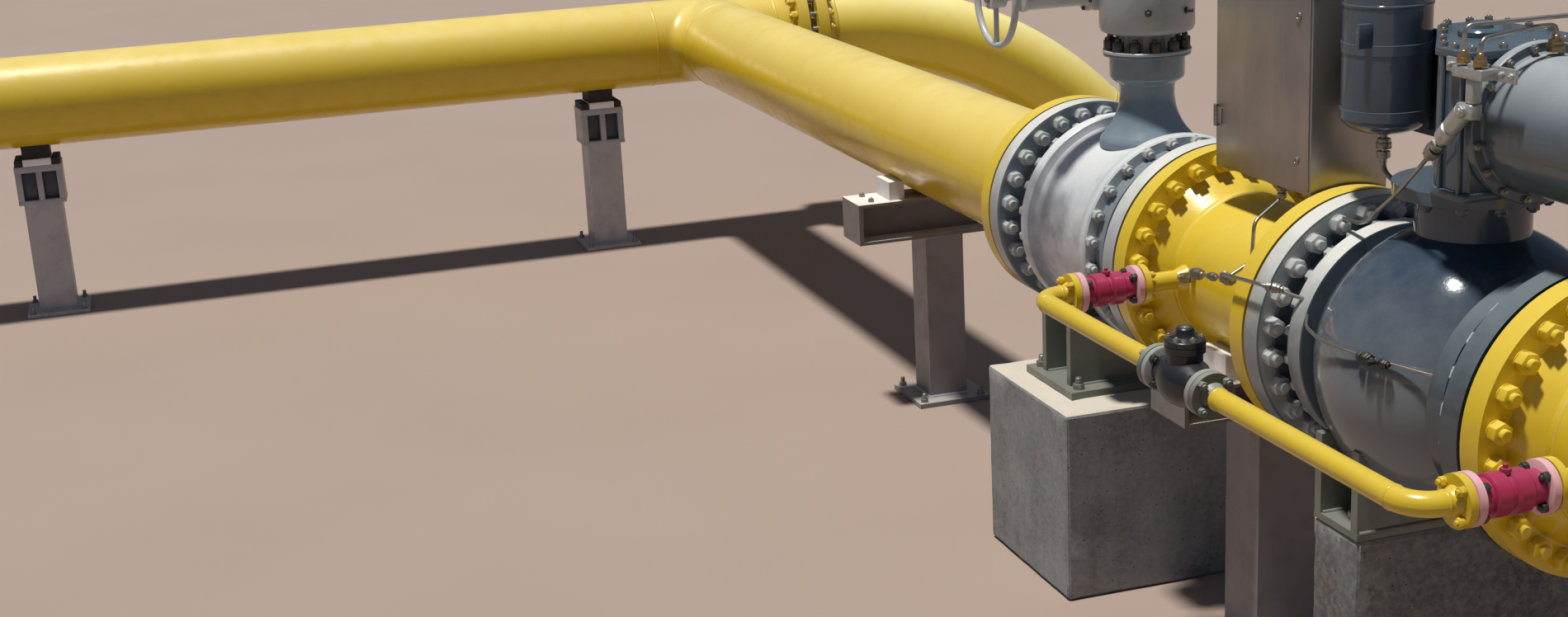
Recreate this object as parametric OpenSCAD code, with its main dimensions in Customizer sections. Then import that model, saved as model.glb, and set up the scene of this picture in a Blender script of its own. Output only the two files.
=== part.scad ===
// Elevated gas pipe run on posts and piers: header, tee, valve train, bypass and the bend into the ground.
// Millimetres, Z up. X runs along the header, the valve train runs towards -Y, Z = 0 is the ground.
// Each module is drawn about the crossing of header and branch; run_frame() then moves it along the
// branch, so that the origin lies on the ground under the middle of the first valve.

/* [Main pipe] */
// outside diameter of the header and of the branch
pipe_od = 508; // [406:1:610]
// wall thickness of the main pipes
pipe_wall = 12.7; // [9:0.1:20]
// height of every main pipe axis above the ground
axis_height = 1210; // [1000:5:1500]

/* [Header] */
// spacing of the header posts, one bay
post_spacing = 3250; // [2500:10:4000]
// distance from the branch axis to the nearest header post
first_post_distance = 724; // [600:1:900]
// length of header past its last post
header_overhang = 626; // [300:1:1000]
// half length of the tee along the header
tee_half_run = 381; // [330:1:450]
// length of the tee outlet from the header axis
tee_outlet = 381; // [330:1:450]
// outside diameter of the tee's outlet
tee_outlet_od = 505; // [480:0.5:507]
// bore of the tee's outlet
tee_outlet_bore = 479; // [450:0.5:482]
// thickness of the insulating ring between the two header flanges
insulating_ring_thickness = 40; // [20:1:60]
// outside diameter of the insulating ring
insulating_ring_od = 636; // [590:1:643]
// centre line radius of the bend that leads the header down
bend_radius = 2540; // [1500:10:2800]
// angle of the bend that leads the header down
bend_angle = 45; // [30:1:60]

/* [Flanges] */
// outside diameter of the main flanges
flange_od = 775; // [760:1:820]
// thickness of the flange ring without its raised face
flange_ring_thickness = 70; // [60:0.5:90]
// height of the raised face
raised_face_height = 6.4; // [1.6:0.1:7]
// diameter of the raised face
raised_face_od = 584; // [560:1:600]
// diameter of the hub where it leaves the ring
hub_od = 616; // [560:1:640]
// length from the raised face to the weld
flange_length = 171; // [150:1:200]
// length of the straight weld end of the hub
hub_weld_end = 20; // [10:1:40]

/* [Valve train] */
// distance from the header axis to the middle of the first valve
first_valve_distance = 5790; // [5600:5:6000]
// distance between the middles of the two valves
valve_spacing = 1840; // [1700:5:2100]
// face to face length of both valves
valve_length = 1016; // [990:1:1200]
// length of plain pipe behind the last flange
outlet_length = 1290; // [600:10:2000]
// thickness of the end flange ring of a valve
valve_ring_thickness = 70; // [60:0.5:90]

/* [First valve] */
// diameter of the neck between end flange and body
neck_od = 590; // [540:1:620]
// distance from the end face to the closure ring
first_neck_end = 186; // [150:1:200]
// diameter of the closure ring
first_closure_od = 664; // [640:1:700]
// thickness of the closure ring
first_closure_thickness = 62; // [40:1:80]
// diameter of the body barrel
first_barrel_od = 686; // [660:1:720]
// diameter of the stem column
column_od = 200; // [160:1:240]
// diameter of the column foot
column_foot_od = 330; // [260:1:360]
// height above the pipe axis where the column foot ends
column_foot_height = 390; // [360:1:420]
// height above the pipe axis of the column's flange joint
column_joint_height = 625; // [580:1:660]
// diameter of the flanges of the column joint
column_flange_od = 300; // [260:1:340]
// thickness of each flange of the column joint
column_flange_thickness = 32; // [20:1:40]

/* [Hand drive] */
// diameter of the gear housing
gear_od = 330; // [280:1:380]
// height of the gear housing
gear_height = 290; // [200:1:320]
// height of the hand wheel axis above the pipe axis
wheel_height = 840; // [780:1:880]
// offset of the hand wheel axis from the valve stem along the branch
wheel_offset = 120; // [80:1:160]
// diameter of the worm housing
worm_od = 150; // [120:1:170]
// diameter of the input tube
input_tube_od = 116; // [80:1:130]
// reach of the input tube from the stem
input_tube_reach = 420; // [350:1:450]
// diameter of the input shaft
input_shaft_od = 30; // [24:1:36]
// reach of the input shaft from the stem
input_shaft_reach = 548; // [520:1:570]
// outside diameter of the hand wheel
wheel_od = 350; // [300:1:450]
// diameter of the round bar of the wheel rim
wheel_bar = 24; // [18:1:30]
// diameter of the wheel hub
wheel_hub_od = 72; // [60:1:90]
// length of the wheel hub
wheel_hub_length = 56; // [40:1:70]
// distance of the wheel from the stem
wheel_reach = 508; // [480:1:520]
// diameter of one wheel spoke
wheel_spoke = 18; // [14:1:24]
// number of wheel spokes
wheel_spokes = 3; // [3:1:5]

/* [Second valve] */
// diameter of the round body
second_body_od = 802; // [760:1:830]
// distance from the end face to the closure ring
second_neck_end = 150; // [120:1:190]
// diameter of the closure ring
second_closure_od = 664; // [640:1:700]
// thickness of the closure ring
second_closure_thickness = 62; // [40:1:80]
// diameter of the stem housing
bonnet_od = 300; // [240:1:340]
// height of the stem housing's top above the pipe axis
bonnet_height = 510; // [480:1:560]
// diameter of the stem housing's top flange
bonnet_flange_od = 420; // [360:1:460]
// thickness of the stem housing's top flange
bonnet_flange_thickness = 34; // [24:1:40]

/* [Power drive] */
// width of the yoke housing across the pipe
yoke_width = 400; // [340:1:460]
// length of the yoke housing along the pipe
yoke_length = 460; // [400:1:520]
// height of the yoke housing
yoke_height = 380; // [300:1:420]
// diameter of the drive cylinder
cylinder_od = 350; // [300:1:400]
// length of the drive cylinder
cylinder_length = 700; // [500:1:900]
// diameter of the end plates of the drive cylinder
cylinder_plate_od = 410; // [360:1:440]
// thickness of each end plate of the drive cylinder
cylinder_plate_thickness = 30; // [20:1:40]
// diameter of the upright tank
tank_od = 244; // [200:1:273]
// length of the straight part of the tank
tank_length = 640; // [400:10:900]
// depth of each domed tank end
tank_dome = 50; // [30:1:70]
// height of the tank's lowest point above the pipe axis
tank_bottom = 568; // [500:1:600]
// distance of the tank from the valve stem along the pipe
tank_distance = 416; // [380:1:450]
// width of the control cabinet along the pipe
cabinet_width = 546; // [450:1:600]
// depth of the control cabinet across the pipe
cabinet_depth = 260; // [200:1:320]
// height of the control cabinet
cabinet_height = 700; // [500:10:900]
// height of the cabinet's underside above the pipe axis
cabinet_bottom = 362; // [300:1:420]
// distance from the valve stem to the cabinet's near side
cabinet_distance = 594; // [560:1:640]
// overhang of the cabinet's rain hood
hood_overhang = 20; // [0:1:40]
// thickness of the cabinet's rain hood
hood_thickness = 6; // [2:1:10]
// thickness of the mounting plate behind tank and cabinet
mounting_plate = 12; // [8:1:20]
// height of the mounting plate
mounting_plate_height = 300; // [200:1:400]
// gap between the tank and the mounting plate
mounting_gap = 11; // [5:1:40]
// width of each tank bracket
bracket_width = 80; // [60:1:120]
// height of each tank bracket
bracket_height = 30; // [20:1:50]
// distance of each tank bracket from the edge of the mounting plate
bracket_inset = 20; // [10:1:60]

/* [Bypass] */
// outside diameter of the bypass pipe
bypass_od = 60.3; // [48.3:0.1:73]
// wall thickness of the bypass pipe
bypass_wall = 5.5; // [3.9:0.1:8]
// distance of the bypass line from the branch axis
bypass_distance = 755; // [700:1:800]
// height of the bypass above the main pipe axis
bypass_rise = 16; // [0:1:60]
// distance from the middle of the first valve to the first bypass stub
first_stub_offset = 733; // [725:1:810]
// distance from the middle of the second valve to the second bypass stub
second_stub_offset = 866; // [770:1:970]
// centre line radius of the bypass elbows
bypass_elbow_radius = 76; // [76:1:114]
// outside diameter of the bypass flanges
bypass_flange_od = 127; // [115:1:165]
// thickness of the bypass flange ring with its raised face
bypass_ring_thickness = 22; // [18:0.5:30]
// length of a bypass weld neck flange
bypass_flange_length = 48; // [40:1:80]
// hub diameter of a bypass flange
bypass_hub_od = 76; // [66:1:84]
// raised face diameter of the bypass flanges
bypass_face_od = 84; // [76:1:92]
// raised face height of the bypass flanges
bypass_face_height = 1.6; // [1:0.1:3]
// face to face length of the small stub valves
stub_valve_length = 216; // [178:1:230]
// body diameter of the small stub valves
stub_valve_body = 104; // [90:1:120]
// foot diameter of the branch fitting on the main pipe
branch_fitting_od = 92; // [80:1:92]
// height of the branch fitting's cone above the main pipe
branch_fitting_height = 30; // [20:1:40]
// length of the weld end of a bypass flange
bypass_weld_end = 10; // [5:1:20]
// distance from the middle of the first valve to the throttle valve
throttle_offset = 1670; // [1510:5:1810]
// face to face length of the throttle valve
throttle_length = 267; // [230:1:292]
// body diameter of the throttle valve
throttle_body = 170; // [130:1:190]
// bonnet diameter of the throttle valve
throttle_bonnet = 110; // [80:1:130]
// height of the throttle valve's top above the bypass axis
throttle_height = 150; // [120:1:260]

/* [Supports] */
// side of the square header post
post_side = 203; // [150:1:250]
// height of the saddle pad under the pipe
pad_rise = 58; // [20:1:80]
// side of the base plates
base_side = 340; // [300:1:400]
// thickness of the base plates
base_thickness = 20; // [12:1:30]
// width of the post head along the header
head_width = 256; // [200:1:280]
// depth of the post head across the header
head_depth = 220; // [180:1:260]
// thickness of the plates of the post head
head_plate = 24; // [15:1:30]
// thickness of the upright webs of the post head
head_web = 40; // [20:1:60]
// height of the post head
head_height = 220; // [180:1:240]
// width of the carrier plate on the head
carrier_width = 218; // [180:1:250]
// thickness of the carrier plate on the head
carrier_thickness = 38; // [20:1:40]
// width of the saddle pad along the header
pad_width = 150; // [100:1:200]
// depth of the saddle pad across the header
pad_depth = 180; // [120:1:220]
// distance from the header axis to the cross support
cross_support_distance = 3754; // [3600:1:3900]
// length of the cross beam
cross_beam_length = 812; // [700:1:900]
// depth of the cross beam along the branch
cross_beam_depth = 220; // [180:1:240]
// height of the cross beam
cross_beam_height = 183; // [150:1:200]
// flange thickness of the cross beam
cross_beam_flange = 14; // [10:1:20]
// web thickness of the cross beam
cross_beam_web = 20; // [8:1:30]
// side of the square post under the cross beam
cross_post_side = 178; // [150:1:200]
// distance from the middle of the first valve to the support under the spool
spool_support_offset = 916; // [860:1:970]
// height of the beam under the spool
spool_beam_height = 118; // [100:1:150]
// flange thickness of the beam under the spool
spool_beam_flange = 11; // [8:1:16]
// web thickness of the beam under the spool
spool_beam_web = 14; // [8:1:20]
// side of the square post under the spool's beam
spool_post_side = 203; // [150:1:220]
// offset of the spool's post from the branch axis, along the header
spool_post_offset = -40; // [-60:1:60]
// length of each stop block beside the pipe
stop_length = 70; // [50:1:100]
// height of each stop block beside the pipe
stop_height = 82; // [60:1:100]
// depth of each stop block along the branch
stop_depth = 160; // [100:1:200]
// inner reach of each stop block from the branch axis
stop_reach = 250; // [230:1:260]
// width of the first valve's pier across the branch
first_pier_width = 965; // [850:1:1100]
// length of the first valve's pier along the branch
first_pier_length = 676; // [600:1:760]
// distance from the main pipe axis down to the top of the first valve's pier
first_pier_drop = 530; // [490:1:610]
// offset of the second valve's pier from its valve, towards the header
second_pier_offset = 50; // [-10:1:130]
// width of the second valve's pier across the branch
second_pier_width = 730; // [600:1:900]
// length of the second valve's pier along the branch
second_pier_length = 220; // [180:1:400]
// distance from the main pipe axis down to the top of the second valve's pier
second_pier_drop = 430; // [425:1:530]
// edge chamfer of the piers
pier_chamfer = 15; // [5:1:30]
// width of the first foot's base plate
first_foot_width = 778; // [700:1:850]
// length of the first foot's base plate
first_foot_length = 380; // [340:1:420]
// thickness of the first foot's base plate
first_foot_plate = 25; // [16:1:40]
// distance between the middles of the first foot's webs
first_foot_spacing = 200; // [100:1:260]
// distance from the main pipe axis down to the top of the first foot's webs
first_foot_drop = 275; // [250:1:340]
// width of the first foot's webs
first_foot_web_width = 716; // [650:1:770]
// width of the second foot's base plate and webs
second_foot_width = 724; // [600:1:724]
// length of the second foot's base plate
second_foot_length = 212; // [150:1:220]
// thickness of the second foot's base plate
second_foot_plate = 20; // [12:1:25]
// distance between the middles of the second foot's webs
second_foot_spacing = 178; // [100:1:180]
// distance from the main pipe axis down to the top of the second foot's webs
second_foot_drop = 180; // [170:1:260]
// thickness of the upright webs of the feet
foot_web = 30; // [20:1:40]

/* [Fits] */
// clearance where a piece is seated against a round pipe or body
seat_gap = 0.3; // [0.2:0.05:0.5]
// radial clearance between the hand wheel hub and the input shaft
wheel_clearance = 0.3; // [0.2:0.05:0.5]

/* [Hidden] */
$fn = 48;
pipe_r = pipe_od / 2;
bore_r = pipe_r - pipe_wall;
half_valve = valve_length / 2;
second_valve_distance = first_valve_distance + valve_spacing;
first_stub_distance = first_valve_distance + first_stub_offset;
second_stub_distance = second_valve_distance + second_stub_offset;
throttle_distance = first_valve_distance + throttle_offset;
spool_support_distance = first_valve_distance + spool_support_offset;
second_pier_distance = second_valve_distance - second_pier_offset;
first_pier_height = axis_height - first_pier_drop;
second_pier_height = axis_height - second_pier_drop;
first_foot_top = axis_height - first_foot_drop;
second_foot_top = axis_height - second_foot_drop;
left_flange_face = tee_half_run + flange_length;
right_flange_face = left_flange_face + insulating_ring_thickness;
bend_start = right_flange_face + flange_length;
bend_end_x = bend_start + bend_radius * sin(bend_angle);
bend_end_z = axis_height - bend_radius * (1 - cos(bend_angle));
last_post = first_post_distance + 2 * post_spacing;
header_end = last_post + header_overhang;
first_face = first_valve_distance - half_valve;
second_face = first_valve_distance + half_valve;
third_face = second_valve_distance - half_valve;
fourth_face = second_valve_distance + half_valve;
branch_pipe_end = first_face - flange_length;
spool_start = second_face + flange_length;
spool_end = third_face - flange_length;
outlet_start = fourth_face + flange_length;
outlet_end = outlet_start + outlet_length;
bypass_r = bypass_od / 2;
bypass_bore_r = bypass_r - bypass_wall;
bypass_z = axis_height + bypass_rise;
elbow_face = bypass_distance - bypass_elbow_radius;
outer_face = elbow_face - bypass_flange_length;
inner_face = outer_face - stub_valve_length;
stub_end = inner_face - bypass_flange_length;
column_joint_z = axis_height + column_joint_height;
gear_z = column_joint_z + column_flange_thickness;
wheel_z = axis_height + wheel_height;
yoke_z = axis_height + bonnet_height;
cylinder_z = yoke_z + yoke_height / 2;
tank_z = axis_height + tank_bottom;
tank_y = tank_distance - second_valve_distance;
cabinet_z = axis_height + cabinet_bottom;
plate_x = tank_od / 2 + mounting_gap;
pad_z = axis_height - pipe_r - pad_rise;
carrier_z = pad_z - carrier_thickness;
head_z = carrier_z - head_height;
beam_top = axis_height - pipe_r - seat_gap;
far = 12000;

module tube(outer, inner, length) {
  difference() {
    cylinder(r = outer, h = length);
    translate([0, 0, -1])
      cylinder(r = inner, h = length + 2);
  }
}

module at_branch(distance) {
  translate([0, -distance, axis_height])
    children();
}

module towards_header() {
  rotate([-90, 0, 0])
    children();
}

module towards_outlet() {
  rotate([90, 0, 0])
    children();
}

module header_line(radius) {
  translate([-far, 0, axis_height])
    rotate([0, 90, 0])
      cylinder(r = radius, h = 2 * far);
}

module branch_line(radius) {
  translate([0, far / 2, axis_height])
    rotate([90, 0, 0])
      cylinder(r = radius, h = 2 * far);
}

module weld_neck() {
  rotate_extrude()
    polygon([
      [bore_r, 0],
      [raised_face_od / 2, 0],
      [raised_face_od / 2, raised_face_height],
      [flange_od / 2, raised_face_height],
      [flange_od / 2, raised_face_height + flange_ring_thickness],
      [hub_od / 2, raised_face_height + flange_ring_thickness],
      [pipe_r, flange_length - hub_weld_end],
      [pipe_r, flange_length],
      [bore_r, flange_length]
    ]);
}

module small_weld_neck() {
  rotate_extrude()
    polygon([
      [bypass_bore_r, 0],
      [bypass_face_od / 2, 0],
      [bypass_face_od / 2, bypass_face_height],
      [bypass_flange_od / 2, bypass_face_height],
      [bypass_flange_od / 2, bypass_ring_thickness],
      [bypass_hub_od / 2, bypass_ring_thickness],
      [bypass_r, bypass_flange_length - bypass_weld_end],
      [bypass_r, bypass_flange_length],
      [bypass_bore_r, bypass_flange_length]
    ]);
}

module closure(neck_end, ring_od, ring_thickness) {
  rotate_extrude()
    polygon([
      [bore_r, 0],
      [raised_face_od / 2, 0],
      [raised_face_od / 2, raised_face_height],
      [flange_od / 2, raised_face_height],
      [flange_od / 2, raised_face_height + valve_ring_thickness],
      [neck_od / 2, raised_face_height + valve_ring_thickness],
      [neck_od / 2, neck_end],
      [ring_od / 2, neck_end],
      [ring_od / 2, neck_end + ring_thickness],
      [bore_r, neck_end + ring_thickness]
    ]);
}

module header_pipe() {
  color("gold")
    translate([-header_end, 0, axis_height])
      rotate([0, 90, 0])
        tube(pipe_r, bore_r, header_end - tee_half_run);
}

module header_tee() {
  color("gold")
    difference() {
      union() {
        translate([-tee_half_run, 0, axis_height])
          rotate([0, 90, 0])
            cylinder(r = pipe_r, h = 2 * tee_half_run);
        translate([0, 0, axis_height])
          rotate([90, 0, 0])
            cylinder(r = tee_outlet_od / 2, h = tee_outlet);
      }
      header_line(bore_r);
      translate([0, 0, axis_height])
        rotate([90, 0, 0])
          cylinder(r = tee_outlet_bore / 2, h = tee_outlet + 1);
    }
}

module header_flanges() {
  color("gold") {
    translate([left_flange_face, 0, axis_height])
      rotate([0, -90, 0])
        weld_neck();
    translate([right_flange_face, 0, axis_height])
      rotate([0, 90, 0])
        weld_neck();
  }
}

module insulating_ring() {
  color("gray")
    translate([left_flange_face, 0, axis_height])
      rotate([0, 90, 0])
        tube(insulating_ring_od / 2, bore_r, insulating_ring_thickness);
}

module descent_bend() {
  color("gold")
    translate([bend_start, 0, axis_height - bend_radius])
      rotate([90, 0, 0])
        rotate([0, 0, 90 - bend_angle])
          rotate_extrude(angle = bend_angle)
            translate([bend_radius, 0])
              difference() {
                circle(r = pipe_r);
                circle(r = bore_r);
              }
}

module descent_pipe() {
  color("gold")
    intersection() {
      translate([bend_end_x, 0, bend_end_z])
        rotate([0, 90 + bend_angle, 0])
          tube(pipe_r, bore_r, 2 * axis_height);
      translate([0, -pipe_od, 0])
        cube([far, 2 * pipe_od, axis_height]);
    }
}

module branch_pipe() {
  color("gold")
    at_branch(tee_outlet)
      towards_outlet()
        tube(pipe_r, bore_r, branch_pipe_end - tee_outlet);
}

module train_flanges() {
  color("gold") {
    at_branch(first_face)
      towards_header()
        weld_neck();
    at_branch(second_face)
      towards_outlet()
        weld_neck();
    at_branch(third_face)
      towards_header()
        weld_neck();
    at_branch(fourth_face)
      towards_outlet()
        weld_neck();
  }
}

module spool_pipe() {
  color("gold")
    at_branch(spool_start)
      towards_outlet()
        tube(pipe_r, bore_r, spool_end - spool_start);
}

module outlet_pipe() {
  color("gold")
    at_branch(outlet_start)
      towards_outlet()
        tube(pipe_r, bore_r, outlet_length);
}

module first_closures() {
  color("slategray") {
    at_branch(first_face)
      towards_outlet()
        closure(first_neck_end, first_closure_od, first_closure_thickness);
    at_branch(second_face)
      towards_header()
        closure(first_neck_end, first_closure_od, first_closure_thickness);
  }
}

module first_barrel() {
  closure_end = first_neck_end + first_closure_thickness;
  color("slategray")
    at_branch(first_face + closure_end)
      towards_outlet()
        tube(first_barrel_od / 2, bore_r, valve_length - 2 * closure_end);
}

module first_column() {
  color("slategray")
    difference() {
      at_branch(first_valve_distance) {
        cylinder(r = column_od / 2, h = column_joint_height);
        cylinder(r = column_foot_od / 2, h = column_foot_height);
        translate([0, 0, column_joint_height - column_flange_thickness])
          cylinder(r = column_flange_od / 2, h = column_flange_thickness);
      }
      branch_line(first_barrel_od / 2 + seat_gap);
      translate([-far / 2, -far, 0])
        cube([far, 2 * far, axis_height]);
    }
}

module gear_drive() {
  color("gray")
    translate([0, -first_valve_distance, 0]) {
      translate([0, 0, column_joint_z])
        cylinder(r = column_flange_od / 2, h = column_flange_thickness);
      translate([0, 0, gear_z])
        cylinder(r = gear_od / 2, h = gear_height);
      translate([-gear_od / 2, wheel_offset, wheel_z])
        rotate([0, 90, 0])
          cylinder(r = worm_od / 2, h = gear_od);
      translate([-input_tube_reach, wheel_offset, wheel_z])
        rotate([0, 90, 0])
          cylinder(r = input_tube_od / 2, h = input_tube_reach);
      translate([-input_shaft_reach, wheel_offset, wheel_z])
        rotate([0, 90, 0])
          cylinder(r = input_shaft_od / 2, h = input_shaft_reach);
    }
}

module hand_wheel() {
  rim_r = wheel_od / 2 - wheel_bar / 2;
  hub_bore_r = input_shaft_od / 2 + wheel_clearance;
  color("darkgray")
    translate([-wheel_reach, wheel_offset - first_valve_distance, wheel_z])
      rotate([0, 90, 0])
        difference() {
          union() {
            rotate_extrude()
              translate([rim_r, 0])
                circle(r = wheel_bar / 2);
            for (i = [0:wheel_spokes - 1])
              rotate([0, 0, 360 * i / wheel_spokes])
                rotate([0, 90, 0])
                  cylinder(r = wheel_spoke / 2, h = rim_r);
            translate([0, 0, -wheel_hub_length / 2])
              cylinder(r = wheel_hub_od / 2, h = wheel_hub_length);
          }
          translate([0, 0, -wheel_hub_length])
            cylinder(r = hub_bore_r, h = 2 * wheel_hub_length);
        }
}

module second_closures() {
  color("slategray") {
    at_branch(third_face)
      towards_outlet()
        closure(second_neck_end, second_closure_od, second_closure_thickness);
    at_branch(fourth_face)
      towards_header()
        closure(second_neck_end, second_closure_od, second_closure_thickness);
  }
}

module second_body() {
  half = half_valve - second_neck_end - second_closure_thickness;
  color("slategray")
    at_branch(second_valve_distance)
      rotate([90, 0, 0])
        difference() {
          sphere(r = second_body_od / 2);
          cylinder(r = bore_r, h = valve_length, center = true);
          translate([-second_body_od, -second_body_od, half])
            cube(2 * second_body_od);
          translate([-second_body_od, -second_body_od, -half - 2 * second_body_od])
            cube(2 * second_body_od);
        }
}

module second_bonnet() {
  color("slategray")
    at_branch(second_valve_distance)
      difference() {
        union() {
          translate([0, 0, bore_r])
            cylinder(r = bonnet_od / 2, h = bonnet_height - bore_r);
          translate([0, 0, bonnet_height - bonnet_flange_thickness])
            cylinder(r = bonnet_flange_od / 2, h = bonnet_flange_thickness);
        }
        sphere(r = second_body_od / 2 + seat_gap);
      }
}

module yoke_housing() {
  color("darkslateblue")
    translate([-yoke_width / 2, -second_valve_distance - yoke_length / 2, yoke_z])
      cube([yoke_width, yoke_length, yoke_height]);
}

module drive_cylinder() {
  start = second_valve_distance + yoke_length / 2;
  color("lightgray")
    translate([0, -start, cylinder_z])
      towards_outlet() {
        cylinder(r = cylinder_plate_od / 2, h = cylinder_plate_thickness);
        cylinder(r = cylinder_od / 2, h = cylinder_length);
        translate([0, 0, cylinder_length - cylinder_plate_thickness])
          cylinder(r = cylinder_plate_od / 2, h = cylinder_plate_thickness);
      }
}

module upright_tank() {
  color("darkslateblue")
    translate([0, tank_y, tank_z])
      rotate_extrude()
        polygon([
          [0, 0],
          [tank_od * 0.32, tank_dome * 0.25],
          [tank_od * 0.45, tank_dome * 0.6],
          [tank_od / 2, tank_dome],
          [tank_od / 2, tank_dome + tank_length],
          [tank_od * 0.45, tank_dome * 1.4 + tank_length],
          [tank_od * 0.32, tank_dome * 1.75 + tank_length],
          [0, tank_dome * 2 + tank_length]
        ]);
}

module mounting_frame() {
  near = second_valve_distance - yoke_length / 2;
  plate_z = cylinder_z - mounting_plate_height / 2;
  reach = cabinet_distance + cabinet_width - yoke_length / 2;
  color("slategray")
    difference() {
      union() {
        translate([plate_x, -near, plate_z])
          cube([mounting_plate, reach, mounting_plate_height]);
        for (bottom = [bracket_inset, mounting_plate_height - bracket_inset - bracket_height])
          translate([tank_od / 4, tank_y - bracket_width / 2, plate_z + bottom])
            cube([plate_x - tank_od / 4, bracket_width, bracket_height]);
      }
      translate([0, tank_y, 0])
        cylinder(r = tank_od / 2 + seat_gap, h = 2 * cabinet_z);
    }
}

module control_cabinet() {
  near_y = cabinet_distance - second_valve_distance;
  color("silver")
    translate([plate_x - cabinet_depth, near_y, cabinet_z]) {
      cube([cabinet_depth, cabinet_width, cabinet_height]);
      translate([-hood_overhang, -hood_overhang, cabinet_height])
        cube([cabinet_depth + hood_overhang, cabinet_width + 2 * hood_overhang, hood_thickness]);
    }
}

module stub() {
  difference() {
    union() {
      rotate([0, -90, 0])
        cylinder(r = bypass_r, h = stub_end);
      translate([-pipe_r - branch_fitting_height, 0, 0])
        rotate([0, 90, 0])
          cylinder(r1 = bypass_r, r2 = branch_fitting_od / 2, h = branch_fitting_height + pipe_wall);
    }
    translate([0, far / 2, -bypass_rise])
      rotate([90, 0, 0])
        cylinder(r = pipe_r + seat_gap, h = far);
    rotate([0, -90, 0])
      cylinder(r = bypass_bore_r, h = stub_end + 1);
  }
}

module bypass_stubs() {
  color("gold") {
    translate([0, -first_stub_distance, bypass_z])
      stub();
    translate([0, -second_stub_distance, bypass_z])
      stub();
  }
}

module stub_flange_pair() {
  translate([-inner_face, 0, 0])
    rotate([0, 90, 0])
      small_weld_neck();
  translate([-outer_face, 0, 0])
    rotate([0, -90, 0])
      small_weld_neck();
}

module bypass_flanges() {
  color("gold") {
    translate([0, -first_stub_distance, bypass_z])
      stub_flange_pair();
    translate([0, -second_stub_distance, bypass_z])
      stub_flange_pair();
    translate([-bypass_distance, -throttle_distance + throttle_length / 2, bypass_z])
      towards_header()
        small_weld_neck();
    translate([-bypass_distance, -throttle_distance - throttle_length / 2, bypass_z])
      towards_outlet()
        small_weld_neck();
  }
}

module elbow_ring() {
  rotate_extrude(angle = 90)
    translate([bypass_elbow_radius, 0])
      difference() {
        circle(r = bypass_r);
        circle(r = bypass_bore_r);
      }
}

module bypass_elbows() {
  color("gold") {
    translate([-elbow_face, -first_stub_distance - bypass_elbow_radius, bypass_z])
      rotate([0, 0, 90])
        elbow_ring();
    translate([-elbow_face, -second_stub_distance + bypass_elbow_radius, bypass_z])
      rotate([0, 0, 180])
        elbow_ring();
  }
}

module bypass_pipes() {
  first_start = first_stub_distance + bypass_elbow_radius;
  first_end = throttle_distance - throttle_length / 2 - bypass_flange_length;
  second_start = throttle_distance + throttle_length / 2 + bypass_flange_length;
  second_end = second_stub_distance - bypass_elbow_radius;
  color("gold") {
    translate([-bypass_distance, -first_start, bypass_z])
      towards_outlet()
        tube(bypass_r, bypass_bore_r, first_end - first_start);
    translate([-bypass_distance, -second_start, bypass_z])
      towards_outlet()
        tube(bypass_r, bypass_bore_r, second_end - second_start);
  }
}

module stub_valve() {
  translate([-outer_face, 0, 0])
    rotate([0, 90, 0]) {
      cylinder(r = bypass_face_od / 2, h = stub_valve_length);
      translate([0, 0, bypass_face_height])
        cylinder(r = bypass_flange_od / 2, h = bypass_ring_thickness);
      translate([0, 0, stub_valve_length - bypass_face_height - bypass_ring_thickness])
        cylinder(r = bypass_flange_od / 2, h = bypass_ring_thickness);
      translate([0, 0, stub_valve_length * 0.26])
        cylinder(r = stub_valve_body / 2, h = stub_valve_length * 0.48);
    }
}

module stub_valves() {
  color("mediumvioletred") {
    translate([0, -first_stub_distance, bypass_z])
      stub_valve();
    translate([0, -second_stub_distance, bypass_z])
      stub_valve();
  }
}

module throttle_valve() {
  color("dimgray")
    translate([-bypass_distance, -throttle_distance, bypass_z]) {
      rotate([90, 0, 0])
        cylinder(r = bypass_face_od / 2, h = throttle_length, center = true);
      for (side = [-1, 1])
        translate([0, side * (throttle_length / 2 - bypass_face_height - bypass_ring_thickness / 2), 0])
          rotate([90, 0, 0])
            cylinder(r = bypass_flange_od / 2, h = bypass_ring_thickness, center = true);
      sphere(r = throttle_body / 2);
      cylinder(r = throttle_bonnet / 2, h = throttle_height);
    }
}

module header_posts() {
  color("lightgray")
    for (i = [0:2])
      translate([-first_post_distance - i * post_spacing, 0, 0]) {
        translate([-base_side / 2, -base_side / 2, 0])
          cube([base_side, base_side, base_thickness]);
        translate([-post_side / 2, -post_side / 2, 0])
          cube([post_side, post_side, head_z]);
      }
}

module post_head() {
  translate([-head_width / 2, -head_depth / 2, 0])
    cube([head_width, head_depth, head_plate]);
  translate([-head_width / 2, -head_depth / 2, head_height - head_plate])
    cube([head_width, head_depth, head_plate]);
  translate([-head_width / 2, -head_depth / 2, 0])
    cube([head_web, head_depth, head_height]);
  translate([-head_web / 2, -head_depth / 2, 0])
    cube([head_web, head_depth, head_height]);
  translate([head_width / 2 - head_web, -head_depth / 2, 0])
    cube([head_web, head_depth, head_height]);
  translate([-head_width / 2, -head_web / 4, 0])
    cube([head_width, head_web / 2, head_height]);
  translate([-carrier_width / 2, -head_depth / 2, head_height])
    cube([carrier_width, head_depth, carrier_thickness]);
}

module post_heads() {
  color("slategray")
    for (i = [0:2])
      translate([-first_post_distance - i * post_spacing, 0, head_z])
        post_head();
}

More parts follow.
